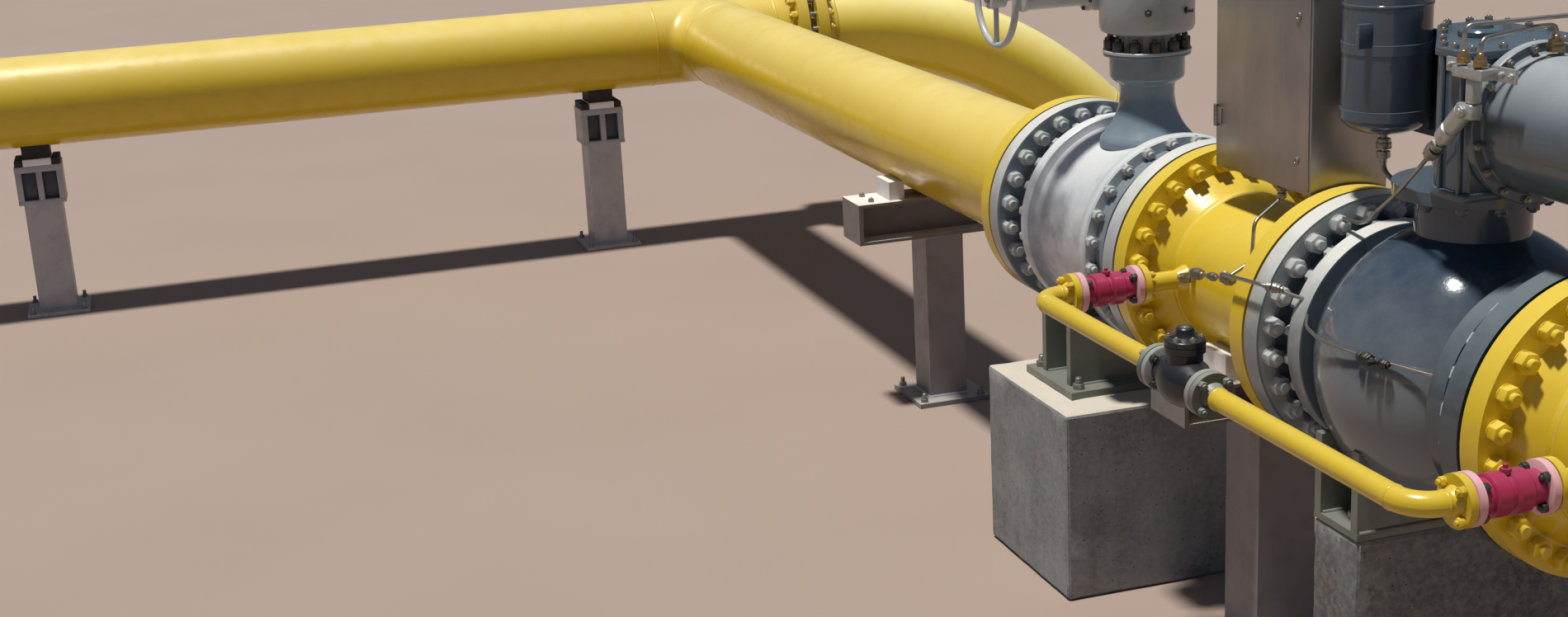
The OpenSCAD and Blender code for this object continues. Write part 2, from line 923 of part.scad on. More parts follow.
module saddle_pads() {
  pad_top = axis_height - sqrt(pipe_r * pipe_r - pad_depth * pad_depth / 4);
  color("dimgray")
    difference() {
      for (i = [0:2])
        translate([-first_post_distance - i * post_spacing - pad_width / 2, -pad_depth / 2, pad_z])
          cube([pad_width, pad_depth, pad_top - pad_z]);
      header_line(pipe_r + seat_gap);
    }
}

module support_post(distance, offset, side, beam_height) {
  translate([offset, -distance, 0]) {
    translate([-base_side / 2, -base_side / 2, 0])
      cube([base_side, base_side, base_thickness]);
    translate([-side / 2, -side / 2, 0])
      cube([side, side, beam_top - beam_height]);
  }
}

module cross_posts() {
  color("gray") {
    support_post(cross_support_distance, 0, cross_post_side, cross_beam_height);
    support_post(spool_support_distance, spool_post_offset, spool_post_side, spool_beam_height);
  }
}

module support_beam(distance, height, flange, web) {
  translate([-cross_beam_length / 2, -distance, beam_top - height]) {
    translate([0, -cross_beam_depth / 2, 0])
      cube([cross_beam_length, cross_beam_depth, flange]);
    translate([0, -cross_beam_depth / 2, height - flange])
      cube([cross_beam_length, cross_beam_depth, flange]);
    translate([0, -web / 2, 0])
      cube([cross_beam_length, web, height]);
    translate([0, -cross_beam_depth / 2, 0])
      cube([web, cross_beam_depth, height]);
    translate([cross_beam_length - web, -cross_beam_depth / 2, 0])
      cube([web, cross_beam_depth, height]);
  }
}

module cross_beams() {
  color("gray") {
    support_beam(cross_support_distance, cross_beam_height, cross_beam_flange, cross_beam_web);
    support_beam(spool_support_distance, spool_beam_height, spool_beam_flange, spool_beam_web);
  }
}

module cross_stops() {
  color("gray")
    difference() {
      for (distance = [cross_support_distance, spool_support_distance])
        for (middle = [stop_length / 2 - stop_reach, stop_reach - stop_length / 2])
          translate([middle - stop_length / 2, -distance - stop_depth / 2, beam_top])
            cube([stop_length, stop_depth, stop_height]);
      branch_line(pipe_r + seat_gap);
    }
}

module pier(width, length, height) {
  translate([-width / 2, -length / 2, 0])
    cube([width, length, height - pier_chamfer]);
  translate([pier_chamfer - width / 2, pier_chamfer - length / 2, 0])
    cube([width - 2 * pier_chamfer, length - 2 * pier_chamfer, height]);
}

module first_pier() {
  color("tan")
    translate([0, -first_valve_distance, 0])
      pier(first_pier_width, first_pier_length, first_pier_height);
}

module second_pier() {
  color("tan")
    translate([0, -second_pier_distance, 0])
      pier(second_pier_width, second_pier_length, second_pier_height);
}

module foot_plate(width, length, thickness, bottom) {
  translate([-width / 2, -length / 2, bottom])
    cube([width, length, thickness]);
}

module foot_webs(width, spacing, bottom, top) {
  for (side = [-1, 1])
    translate([-width / 2, side * spacing / 2 - foot_web / 2, bottom])
      cube([width, foot_web, top - bottom]);
  translate([-foot_web / 2, -spacing / 2, bottom])
    cube([foot_web, spacing, top - bottom]);
}

module first_foot() {
  color("darkslategray")
    difference() {
      translate([0, -first_valve_distance, 0]) {
        foot_plate(first_foot_width, first_foot_length, first_foot_plate, first_pier_height);
        foot_webs(first_foot_web_width, first_foot_spacing, first_pier_height, first_foot_top);
      }
      branch_line(first_barrel_od / 2 + seat_gap);
    }
}

module second_foot() {
  color("darkslategray")
    difference() {
      translate([0, -second_pier_distance, 0]) {
        foot_plate(second_foot_width, second_foot_length, second_foot_plate, second_pier_height);
        foot_webs(second_foot_width, second_foot_spacing, second_pier_height, second_foot_top);
      }
      at_branch(second_valve_distance)
        sphere(r = second_body_od / 2 + seat_gap);
    }
}

module run_frame() {
  translate([0, first_valve_distance, 0])
    children();
}

run_frame() header_pipe();
run_frame() header_tee();
run_frame() header_flanges();
run_frame() insulating_ring();
run_frame() descent_bend();
run_frame() descent_pipe();
run_frame() branch_pipe();
run_frame() train_flanges();
run_frame() spool_pipe();
run_frame() outlet_pipe();
run_frame() first_closures();
run_frame() first_barrel();
run_frame() first_column();
run_frame() gear_drive();
run_frame() hand_wheel();
run_frame() second_closures();
run_frame() second_body();
run_frame() second_bonnet();
run_frame() yoke_housing();
run_frame() drive_cylinder();
run_frame() upright_tank();
run_frame() mounting_frame();
run_frame() control_cabinet();
run_frame() bypass_stubs();
run_frame() bypass_flanges();
run_frame() bypass_elbows();
run_frame() bypass_pipes();
run_frame() stub_valves();
run_frame() throttle_valve();
run_frame() header_posts();
run_frame() post_heads();
run_frame() saddle_pads();
run_frame() cross_posts();
run_frame() cross_beams();
run_frame() cross_stops();
run_frame() first_pier();
run_frame() second_pier();
run_frame() first_foot();
run_frame() second_foot();
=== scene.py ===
import math
import bpy
from mathutils import Matrix, Vector


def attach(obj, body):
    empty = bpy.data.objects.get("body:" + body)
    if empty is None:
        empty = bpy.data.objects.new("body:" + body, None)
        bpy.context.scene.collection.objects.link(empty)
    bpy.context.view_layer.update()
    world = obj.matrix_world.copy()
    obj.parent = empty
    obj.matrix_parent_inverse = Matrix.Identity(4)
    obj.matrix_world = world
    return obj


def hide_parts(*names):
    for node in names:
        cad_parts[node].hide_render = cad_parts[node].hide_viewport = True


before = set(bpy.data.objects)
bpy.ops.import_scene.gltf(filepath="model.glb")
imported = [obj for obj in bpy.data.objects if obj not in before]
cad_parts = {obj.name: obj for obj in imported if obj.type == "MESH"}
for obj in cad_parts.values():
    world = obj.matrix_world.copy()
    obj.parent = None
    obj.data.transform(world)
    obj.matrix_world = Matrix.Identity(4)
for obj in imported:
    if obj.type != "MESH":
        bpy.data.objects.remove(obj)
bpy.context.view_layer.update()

# Camera: 2.9 m above the ground beyond the train's outlet, on its left, and looking along the train to the header.
# Its place and turn were solved from the flanges and posts, so it repeats the view of the 1900 x 748 picture.
eye = Vector((-3.2512, -6.275, 2.8956))
to_right = Vector((0.95191422, -0.30219338, -0.05038339))
to_top = Vector((0.12820718, 0.24356931, 0.96137241))
to_back = Vector((-0.27824853, -0.92160358, 0.27060045))
picture_width = 1900
picture_height = 748
focal_pixels = 2450
horizon_pixels = 387
camera_data = bpy.data.cameras.new("camera")
camera_data.sensor_width = 36.0
camera_data.lens = focal_pixels / picture_width * camera_data.sensor_width
camera_data.shift_y = (horizon_pixels - picture_height / 2) / picture_width
camera_data.clip_start = 0.05
camera_data.clip_end = 500.0
camera = bpy.data.objects.new("camera", camera_data)
camera.matrix_world = Matrix.Translation(eye) @ Matrix((to_right, to_top, to_back)).transposed().to_4x4()
bpy.context.collection.objects.link(camera)
bpy.context.scene.camera = camera


# Plain brown floor and simple light: one broad warm key almost overhead, a little to the left, and a pale blue sky
# for the fill. The key's place keeps the bright tops and the shaded near faces that the flanges show.
def linear(hex_colour):
    """An sRGB hex colour as the linear colour that a shader takes."""
    channels = [int(hex_colour[i:i + 2], 16) / 255 for i in (1, 3, 5)]
    return tuple(c / 12.92 if c <= 0.04045 else ((c + 0.055) / 1.055) ** 2.4 for c in channels) + (1.0,)


def add_node(tree, kind, *values, **settings):
    """Adds one shader node with its settings and values. The values stand in the order of its sockets, or in one
    dictionary under the sockets' names. A node among them is linked by its first output, and a hex colour is turned
    to linear. MapRange takes the value, its two bounds as it comes in, and the two bounds that they turn into."""
    made = tree.nodes.new("ShaderNode" + kind)
    for setting, value in settings.items():
        setattr(made, setting, value)
    named = values[0] if values and isinstance(values[0], dict) else dict(enumerate(values))
    for socket, value in named.items():
        if isinstance(value, bpy.types.Node):
            value = value.outputs[0]
        if isinstance(value, bpy.types.NodeSocket):
            tree.links.new(value, made.inputs[socket])
        else:
            made.inputs[socket].default_value = linear(value) if isinstance(value, str) else value
    return made


def new_material(name):
    """An empty material, its node tree, and in it the object's own coordinates."""
    material = bpy.data.materials.new(name)
    material.use_nodes = True
    material.node_tree.nodes.clear()
    return material, material.node_tree, add_node(material.node_tree, "TexCoord").outputs["Object"]


def close_material(tree, values):
    """The one shader of a material, wired to its output."""
    shader = add_node(tree, "BsdfPrincipled", values)
    add_node(tree, "OutputMaterial", {"Surface": shader.outputs["BSDF"]})


floor_paint, tree, place = new_material("matt_floor_paint")
cloud = add_node(tree, "TexNoise", {"Vector": place, "Scale": 0.6, "Detail": 3.0})
shade = add_node(tree, "MixRGB", cloud, "#9A887D", "#A29187")
close_material(tree, {"Base Color": shade, "Roughness": 0.85})
bpy.ops.mesh.primitive_plane_add(size=300, location=(-2, 2, -0.002))
floor = bpy.context.object
floor.name = "studio_floor"
floor.data.materials.append(floor_paint)

key_light = bpy.data.lights.new("key_light", "SUN")
key_light.energy = 4.1
key_light.angle = math.radians(5)
key_light.color = (1.0, 0.965, 0.90)
key = bpy.data.objects.new("key_light", key_light)
key.matrix_world = Vector((-0.22, -0.03, 1.0)).to_track_quat("Z", "Y").to_matrix().to_4x4()
bpy.context.collection.objects.link(key)
sky = bpy.data.worlds.new("studio_sky")
sky.use_nodes = True
sky.node_tree.nodes["Background"].inputs["Color"].default_value = linear("#B6CBF0")
sky.node_tree.nodes["Background"].inputs["Strength"].default_value = 0.19
bpy.context.scene.world = sky
# The standard view shows the enamels in their own colours; the filmic one would wash the yellow out.
bpy.context.scene.view_settings.view_transform = "Standard"


# Main pipes: rolled steel pipe of 508 mm, blasted and sprayed with glossy yellow alkyd enamel.
# The coat is bright and smooth with thin dust and slow warm stains, paler on top: chalk and painted sunlight.
def enamel(name, colour, chalk_and_lit_top, stain, roughness, chalk_and_lit_share, stain_share):
    """Sprayed enamel: a colour, a paler one on top for chalk, dust and painted sunlight, and a stain in slow patches.
    The spray's ripple is about 4 mm apart, drawn as 8 mm so that it shows."""
    material, tree, place = new_material(name)
    slow = add_node(tree, "TexNoise", {"Vector": place, "Scale": 2.6, "Detail": 6.0, "Roughness": 0.62})
    patch = add_node(tree, "TexNoise", {"Vector": place, "Scale": 11.0, "Detail": 5.0, "Roughness": 0.6})
    speck = add_node(tree, "TexNoise", {"Vector": place, "Scale": 85.0, "Detail": 2.0})
    facing = add_node(tree, "NewGeometry").outputs["Normal"]
    upward = add_node(tree, "SeparateXYZ", facing).outputs["Z"]
    # The paler colour on faces that look up is partly chalk and dust, partly painted sunlight on the tops.
    lying = add_node(tree, "MapRange", upward, 0.1, 1.0, 0.0, 1.0)
    drift = add_node(tree, "MapRange", slow, 0.35, 0.65, 0.72, 1.0)
    settled_and_lit = add_node(tree, "Math", lying, drift, operation="MULTIPLY")
    chalked_and_lit = add_node(tree, "Math", settled_and_lit, chalk_and_lit_share, operation="MULTIPLY")
    patchy = add_node(tree, "MapRange", patch, 0.48, 0.74, 0.0, stain_share)
    stained = add_node(tree, "MixRGB", patchy, colour, stain)
    top = add_node(tree, "MixRGB", chalked_and_lit, stained, chalk_and_lit_top)
    speckled = add_node(tree, "MapRange", speck, 0.66, 0.78, 0.0, stain_share * 0.6)
    shown = add_node(tree, "MixRGB", speckled, top, stain)
    gloss = add_node(tree, "MapRange", patch, 0.3, 0.7, roughness - 0.05, roughness + 0.12)
    dulled = add_node(tree, "Math", chalked_and_lit, 0.35, gloss, operation="MULTIPLY_ADD")
    ripple = add_node(tree, "TexNoise", {"Vector": place, "Scale": 120.0, "Detail": 1.0})
    wave = add_node(tree, "Bump", {"Strength": 0.10, "Distance": 0.0015, "Height": ripple})
    close_material(tree, {"Base Color": shown, "Roughness": dulled, "Normal": wave, "IOR": 1.52})
    return material


def recoat(material, across, middle, radius, inside, colours, roughness):
    """Changes colour and roughness of a material inside or outside a radius in m round an axis. The axis is named by
    the two letters of the plane across it and its middle in that plane; the second colour lies on what faces up."""
    tree = material.node_tree
    shader = next(node for node in tree.nodes if node.type == "BSDF_PRINCIPLED")
    place = add_node(tree, "TexCoord").outputs["Object"]
    spot = add_node(tree, "SeparateXYZ", place)
    sides = [
        add_node(tree, "Math", spot.outputs[letter], value, operation="SUBTRACT")
        for letter, value in zip(across, middle)]
    square = add_node(tree, "Math", sides[0], sides[0], operation="MULTIPLY")
    total = add_node(tree, "Math", sides[1], sides[1], square, operation="MULTIPLY_ADD")
    edge = 0.0005
    share = add_node(
        tree, "MapRange", total, (radius - edge) ** 2, (radius + edge) ** 2, float(inside), float(not inside))
    cloud = add_node(tree, "TexNoise", {"Vector": place, "Scale": 14.0, "Detail": 5.0, "Roughness": 0.65})
    facing = add_node(tree, "SeparateXYZ", add_node(tree, "NewGeometry").outputs["Normal"]).outputs["Z"]
    lifted = add_node(tree, "Math", cloud, 0.6, facing, operation="MULTIPLY_ADD")
    spread = add_node(tree, "MapRange", lifted, 0.35, 1.15)
    shade = add_node(tree, "MixRGB", spread, colours[0], colours[1])
    before = shader.inputs["Base Color"].links[0].from_socket
    mixed = add_node(tree, "MixRGB", share, before, shade)
    tree.links.new(mixed.outputs["Color"], shader.inputs["Base Color"])
    before = shader.inputs["Roughness"].links[0].from_socket
    dull = add_node(tree, "MapRange", share, 0.0, 1.0, before, roughness)
    tree.links.new(dull.outputs["Result"], shader.inputs["Roughness"])
    return material


def coat(material, *nodes):
    """Gives CAD nodes, whose shape stays, their finish."""
    for name in nodes:
        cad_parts[name].data.materials.clear()
        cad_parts[name].data.materials.append(material)


pipe_radius = 0.254
pipe_height = 1.210
header_y = 5.790
yellow = ("#D6B72A", "#EFE0A0", "#97700E", 0.18, 0.58, 0.13)
yellow_enamel = enamel("yellow_alkyd_enamel", *yellow)
# Inside the two open ends, up to just past the bore, the steel is bare and rusted brown.
rust = ("#5A3A26", "#7B5136")
rust_radius = 0.2425
header_enamel = recoat(
    enamel("yellow_enamel_on_header", *yellow), ("Y", "Z"), (header_y, pipe_height), rust_radius, True, rust, 0.8)
# The train's pipes get less of the pale top, so a fuller yellow; the bend a lighter yellow and far more, painted
# sunlight.
train_yellow = ("#D8B926", "#E8D474", "#97700E", 0.18, 0.42, 0.13)
train_enamel = recoat(
    enamel("yellow_enamel_on_train", *train_yellow), ("X", "Z"), (0.0, pipe_height), rust_radius, True, rust, 0.8)
bend_enamel = enamel("yellow_enamel_on_bend", "#F0D43A", "#FFF8BE", "#97700E", 0.16, 0.92, 0.10)
coat(yellow_enamel, "branch_pipe", "header_flanges")
coat(bend_enamel, "descent_bend", "descent_pipe")
coat(header_enamel, "header_pipe")
coat(train_enamel, "train_flanges", "outlet_pipe", "spool_pipe")


# Header tee: a forged equal tee, drawn out of one piece of pipe, so its crotch is a smooth hollow and no corner.
# At each height the crotch is rounded by up to 75 mm, and the wall is 12.7 mm like the pipe's.
def select(*shapes):
    """Selects these objects alone, the first of them active."""
    bpy.ops.object.select_all(action="DESELECT")
    for shape in shapes:
        shape.select_set(True)
    bpy.context.view_layer.objects.active = shapes[0]


def finish(piece, name, material, body="pipe_run", angle=35):
    """Applies the piece's place, smooths it, gives it its finish and lets it ride on its body."""
    select(piece)
    bpy.ops.object.transform_apply(location=True, rotation=True, scale=True)
    bpy.ops.object.shade_smooth_by_angle(angle=math.radians(angle))
    piece.data.materials.clear()
    piece.data.materials.append(material)
    piece.name = name
    piece.data.name = name
    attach(piece, body)
    return piece


def joined(parts):
    """Joins finished shapes to one object."""
    select(*parts)
    bpy.ops.object.join()
    return bpy.context.object


def editing(shape):
    """Opens one object alone in edit mode with all of it selected."""
    select(shape)
    bpy.ops.object.mode_set(mode="EDIT")
    bpy.ops.mesh.select_all(action="SELECT")


tee_half = 0.381
crotch = 0.075
parts = []
for side in (1, -1):
    bpy.ops.mesh.primitive_grid_add(x_subdivisions=44, y_subdivisions=56, size=2)
    patch = bpy.context.object
    for vertex in patch.data.vertices:
        along = (vertex.co.x + 1) / 2
        turn = vertex.co.y * math.pi / 2
        reach = pipe_radius * math.cos(turn)
        hollow = crotch * math.sqrt(max(math.cos(turn), 0.0))
        if along < 0.3:
            spot = (tee_half + (reach + hollow - tee_half) * along / 0.3, -reach)
        elif along < 0.7:
            sweep = (along - 0.3) / 0.4 * math.pi / 2
            spot = (reach + hollow - hollow * math.sin(sweep), -reach - hollow + hollow * math.cos(sweep))
        else:
            spot = (reach, -reach - hollow - (tee_half - reach - hollow) * (along - 0.7) / 0.3)
        vertex.co = (side * spot[0], header_y + spot[1], pipe_height + pipe_radius * math.sin(turn))
    parts.append(patch)
bpy.ops.mesh.primitive_grid_add(x_subdivisions=30, y_subdivisions=56, size=2)
patch = bpy.context.object
for vertex in patch.data.vertices:
    turn = vertex.co.y * math.pi / 2
    vertex.co = (
        vertex.co.x * tee_half,
        header_y + pipe_radius * math.cos(turn),
        pipe_height + pipe_radius * math.sin(turn),
    )
parts.append(patch)
tee = joined(parts)
editing(tee)
bpy.ops.mesh.remove_doubles(threshold=0.0004)
bpy.ops.mesh.normals_make_consistent(inside=False)
bpy.ops.object.mode_set(mode="OBJECT")
wall = tee.modifiers.new("wall", "SOLIDIFY")
wall.thickness = 0.0127
wall.offset = -1.0
bpy.ops.object.modifier_apply(modifier="wall")
finish(tee, "tee_forging", yellow_enamel, angle=60)
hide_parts("header_tee")


# Girth welds: each joint of pipe, tee, bend and weld neck is closed by a cap pass, a low rippled bead all round.
# The bead is painted with the pipe and stands 3 mm proud, with its ripples about 8 mm apart.
def towards(origin, direction):
    """The place of a shape whose own Z points along direction."""
    return Matrix.Translation(Vector(origin)) @ Vector(direction).to_track_quat("Z", "Y").to_matrix().to_4x4()


def bead(origin, direction, radius, width, height):
    """One closed weld bead round a pipe."""
    ring_steps = max(48, int(radius * 2 * math.pi / 0.012))
    bpy.ops.mesh.primitive_torus_add(
        major_radius=radius, minor_radius=width / 2, major_segments=ring_steps, minor_segments=8)
    weld = bpy.context.object
    for vertex in weld.data.vertices:
        out = math.hypot(vertex.co.x, vertex.co.y)
        step = math.atan2(vertex.co.y, vertex.co.x) * ring_steps / 2
        raised = radius + (out - radius) * 2 * height / width * (1.0 + 0.18 * math.cos(step))
        vertex.co.x *= raised / out
        vertex.co.y *= raised / out
    weld.data.transform(towards(origin, direction))
    return weld


bend_end = (2.5590, header_y, 0.4661)
weld_places = [((x, header_y, pipe_height), (1, 0, 0)) for x in (-tee_half, tee_half, 0.763, -6.2)]
weld_places.append((bend_end, (1, 0, -1)))
weld_places += [((0, y, pipe_height), (0, 1, 0)) for y in (header_y - tee_half, 0.679, -0.679, -1.161, -2.519)]
main_welds = [bead(middle, along, pipe_radius, 0.016, 0.003) for middle, along in weld_places]
finish(joined(main_welds), "girth_welds", yellow_enamel, angle=60)


# Flange bolting: 24 studs of 32 mm with heavy hexagon nuts close each main joint, on a 686 mm circle.
# The nuts on the pipe side are sprayed yellow with the flange, those on the valve side grey with the valve.
def copies(shape, places):
    """Copies of one finished shape, each with its own mesh and place, joined to one object."""
    made = []
    for matrix in places:
        one = shape.copy()
        one.data = shape.data.copy()
        one.data.transform(matrix)
        bpy.context.collection.objects.link(one)
        made.append(one)
    bpy.data.objects.remove(shape)
    return joined(made)


def round_places(origin, direction, radius, count, start=0.5):
    """Places on a bolt circle; start is the first one's step past the X of the circle."""
    middle = towards(origin, direction)
    return [
        middle @ Matrix.Rotation(2 * math.pi * (i + start) / count, 4, "Z") @ Matrix.Translation((radius, 0, 0))
        for i in range(count)
    ]


def rounded(shape, bevel, segments):
    """Rounds all edges of one object, or chamfers them where it takes one segment."""
    editing(shape)
    bpy.ops.mesh.bevel(offset=bevel, segments=segments, affect="EDGES")
    bpy.ops.object.mode_set(mode="OBJECT")
    return shape


def nut(across, height, stud, reach):
    """A chamfered hexagon nut that stands on Z = 0, with the chamfered stud end that sticks out of it."""
    made = []
    for sides, radius, low, high, bevel, segments in (
            (6, across / math.sqrt(3), 0, height, across * 0.05, 2),
            (12, stud / 2, 0, height + reach, stud * 0.09, 1),
            (20, across * 0.56, -0.001, 0.003, 0, 0)):
        bpy.ops.mesh.primitive_cylinder_add(
            vertices=sides, radius=radius, depth=high - low, location=(0, 0, (low + high) / 2))
        part = bpy.context.object
        if bevel:
            rounded(part, bevel, segments)
        bpy.ops.object.transform_apply(location=True, rotation=True, scale=True)
        made.append(part)
    return joined(made)


def fasten(name, size, places, material):
    """One piece of nuts, of the size that nut takes, at all places."""
    finish(copies(nut(*size), places), name, material)


valve_enamel = enamel("light_valve_grey_enamel", "#B2B6B6", "#CACAC4", "#5E6468", 0.16, 0.40, 0.30)
slate = ("#4C5A67", "#6C7880", "#262D34", 0.09, 0.25, 0.26)
slate_enamel = enamel("slate_blue_grey_enamel", *slate)
shaded_column_enamel = enamel("mid_blue_grey_enamel", "#748591", "#97A1A6", "#3A444C", 0.12, 0.30, 0.26)
ring_back = 0.0764
stud_circle = 0.3429
studs = 24
main_nut = (0.0508, 0.031, 0.0318, 0.014)
# Each joint's place along the train, and the side of it on which the pipe lies.
train_joints = ((0.508, 1), (-0.508, -1), (-1.332, 1), (-2.348, -1))
yellow_sides = []
grey_sides = []
for y, side in train_joints:
    back = side * ring_back
    yellow_sides += round_places((0, y + back, pipe_height), (0, side, 0), stud_circle, studs)
    grey_sides += round_places((0, y - back, pipe_height), (0, -side, 0), stud_circle, studs)
fasten("train_flange_nuts", main_nut, yellow_sides, train_enamel)
fasten("valve_flange_nuts", main_nut, grey_sides, valve_enamel)
header_joint = (0.552, 0.592)
header_sides = []
for x, side in zip(header_joint, (-1, 1)):
    header_sides += round_places((x + side * ring_back, header_y, pipe_height), (side, 0, 0), stud_circle, studs)
fasten("header_flange_nuts", main_nut, header_sides, yellow_enamel)


# Stud shanks: plain zinc-plated steel, seen only in the narrow gap between the two rings of a joint.
# They dull to a soft grey; the header's joint is 53 mm wide, as the insulating ring parts its flanges.
def plated(name, colour, roughness):
    """Zinc-plated or bare bright steel: a metal with a cloudy shade and fine drawing marks 0.5 mm apart,
    drawn 3 mm apart so that they show."""
    material, tree, place = new_material(name)
    cloud = add_node(tree, "TexNoise", {"Vector": place, "Scale": 30.0, "Detail": 5.0})
    marks = add_node(tree, "TexNoise", {"Vector": place, "Scale": 330.0, "Detail": 2.0})
    tint = add_node(tree, "MixRGB", cloud, colour, "#6E6C66")
    dull = add_node(tree, "MapRange", cloud, 0.3, 0.7, roughness, roughness + 0.2)
    wave = add_node(tree, "Bump", {"Strength": 0.15, "Distance": 0.0005, "Height": marks})
    close_material(tree, {"Base Color": tint, "Roughness": dull, "Normal": wave, "Metallic": 0.9})
    return material


zinc_plate = plated("zinc_plated_steel", "#B9B7AF", 0.38)


def turned(profile, steps, place=Matrix(), capped=True):
    """A shape of revolution about Z: a circle extruded and scaled along a profile of (radius, height), then put in
    its place."""
    radius, height = profile[0]
    bpy.ops.mesh.primitive_circle_add(vertices=steps, radius=radius, fill_type="NGON" if capped else "NOTHING")
    shape = bpy.context.object
    editing(shape)
    bpy.ops.transform.translate(value=(0, 0, height))
    for next_radius, next_height in profile[1:]:
        bpy.ops.mesh.extrude_region_move(TRANSFORM_OT_translate={"value": (0, 0, next_height - height)})
        share = next_radius / radius
        bpy.ops.transform.resize(value=(share, share, 1), center_override=(0, 0, next_height))
        radius, height = next_radius, next_height
    bpy.ops.mesh.select_all(action="SELECT")
    if not capped:
        bpy.ops.mesh.remove_doubles(threshold=0.00001)
    bpy.ops.mesh.normals_make_consistent(inside=False)
    bpy.ops.object.mode_set(mode="OBJECT")
    shape.data.transform(place)
    return shape


def shank(length):
    """A stud's bare middle."""
    return turned([(0.0145, 0), (0.0155, 0.001), (0.0155, length - 0.001), (0.0145, length)], 12)


train_gap = 0.0148
header_gap = 0.0548
shank_places = []
for y, side in train_joints:
    shank_places += round_places((0, y - train_gap / 2, pipe_height), (0, 1, 0), stud_circle, studs)
finish(copies(shank(train_gap), shank_places), "train_stud_shanks", zinc_plate)
shank_start = (sum(header_joint) - header_gap) / 2
shank_places = round_places((shank_start, header_y, pipe_height), (1, 0, 0), stud_circle, studs)
finish(copies(shank(header_gap), shank_places), "header_stud_shanks", zinc_plate)


# Insulating ring: laminated phenolic board between the header flanges, which parts the pipe electrically.
# Its cut edge is mid grey-brown, matt, with the board's layers 2 mm apart showing all round.
insulating_board, tree, place = new_material("laminated_phenolic_board")
layers = add_node(
    tree, "TexWave", {"Vector": place, "Scale": 157.0, "Distortion": 1.2, "Detail": 2.0}, bands_direction="X",
).outputs["Fac"]
cloud = add_node(tree, "TexNoise", {"Vector": place, "Scale": 18.0, "Detail": 5.0})
board = add_node(tree, "MixRGB", layers, "#A08A6E", "#7E6A52")
soiled = add_node(tree, "MixRGB", cloud, board, "#B29E86")
wave = add_node(tree, "Bump", {"Strength": 0.2, "Distance": 0.0004, "Height": layers})
close_material(tree, {"Base Color": soiled, "Roughness": 0.6, "Normal": wave})
coat(insulating_board, "insulating_ring")


# First valve: a trunnion ball valve of three castings, sprayed blue-grey. The middle casting is a barrel with
# rounded shoulders, and each end casting is bolted to it by 24 studs through a narrow ring.
axis_plane = ("X", "Z")
# Inside the rims the end castings are drawn darker, a painted shade; the rims are pale, paler on top: painted
# sunlight.
lit_rim_greys = ("#949B9E", "#DCDCD6")
first_casting_enamel = recoat(
    enamel("first_casting_enamel", "#7B868E", "#8F989C", "#3A434B", 0.12, 0.30, 0.26),
    axis_plane, (0.0, pipe_height), 0.380, False, lit_rim_greys, 0.24)
coat(first_casting_enamel, "first_closures")
barrel_half = 0.260
barrel_radius = 0.343
waist_radius = 0.337
bore_radius = 0.2413
shoulder = [(0.366, 0.260), (0.372, 0.254), (0.372, 0.212), (0.368, 0.206), (0.352, 0.203)]
barrel_profile = (
    [(bore_radius, -barrel_half)]
    + [(r, -z) for r, z in shoulder]
    + [(barrel_radius, -0.198), (waist_radius, -0.185), (waist_radius, 0.185), (barrel_radius, 0.198)]
    + [(r, z) for r, z in reversed(shoulder)]
    + [(bore_radius, barrel_half), (bore_radius, -barrel_half)]
)
barrel = turned(barrel_profile, 96, towards((0, 0, pipe_height), (0, -1, 0)), capped=False)
# The barrel's pale top is painted sunlight, and its dark slow patches are painted shadows and reflections.
barrel_enamel = enamel("light_grey_enamel_painted_light_and_shade", "#BFC5CC", "#F2F2EC", "#66727E", 0.14, 0.64, 0.55)
finish(barrel, "first_valve_barrel", barrel_enamel)
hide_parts("first_barrel")


def end_rings(middle_y, half, circle):
    """Places of the studs that hold both ends of a casting on the train."""
    return [
        place for side in (1, -1)
        for place in round_places((0, middle_y + side * half, pipe_height), (0, side, 0), circle, studs)]


closure_circle = 0.350
closure_sides = end_rings(0, barrel_half, closure_circle)
fasten("first_closure_nuts", (0.036, 0.026, 0.022, 0.012), closure_sides, valve_enamel)


# First valve's stem column: a cast pedestal bolted on the barrel, with a bell-shaped foot and a thick collar
# on top where the gear stands, drawn darker blue-grey than the valve, a painted shade of the gear above. Twelve tall
# dark nuts stand open round that joint.
column = turned([
    (0.165, 0.300), (0.165, 0.318), (0.161, 0.330), (0.149, 0.345), (0.134, 0.362), (0.120, 0.384), (0.108, 0.410),
    (0.099, 0.440), (0.094, 0.475), (0.094, 0.505), (0.098, 0.518), (0.116, 0.530), (0.126, 0.538), (0.129, 0.546),
    (0.129, 0.612), (0.134, 0.616), (0.150, 0.617), (0.150, 0.623), (0.148, 0.625),
], 64, Matrix.Translation((0, 0, pipe_height)))
finish(column, "first_stem_column", shaded_column_enamel)
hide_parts("first_column")

dark_steel = plated("oiled_dark_steel", "#3A3C40", 0.42)
joint_z = pipe_height + 0.625
gear_plate = 0.012
gear_circle = 0.131
gear_bolts = round_places((0, 0, joint_z + gear_plate), (0, 0, 1), gear_circle, 12)
fasten("gear_joint_bolts", (0.036, 0.034, 0.022, 0.012), gear_bolts, dark_steel)


# Gear drive: a worm gear in an iron housing with a bolted cover, an end cap each side of the worm and a long input
# tube that holds the shaft of the hand wheel. The housing is mid grey, the tube and the wheel are light grey.
def block(low, high, bevel, segments=2):
    """A block between two corners with its edges rounded."""
    low, high = Vector(low), Vector(high)
    bpy.ops.mesh.primitive_cube_add(size=1, location=(low + high) / 2, scale=high - low)
    shape = bpy.context.object
    bpy.ops.object.transform_apply(location=True, rotation=True, scale=True)
    return rounded(shape, bevel, segments)


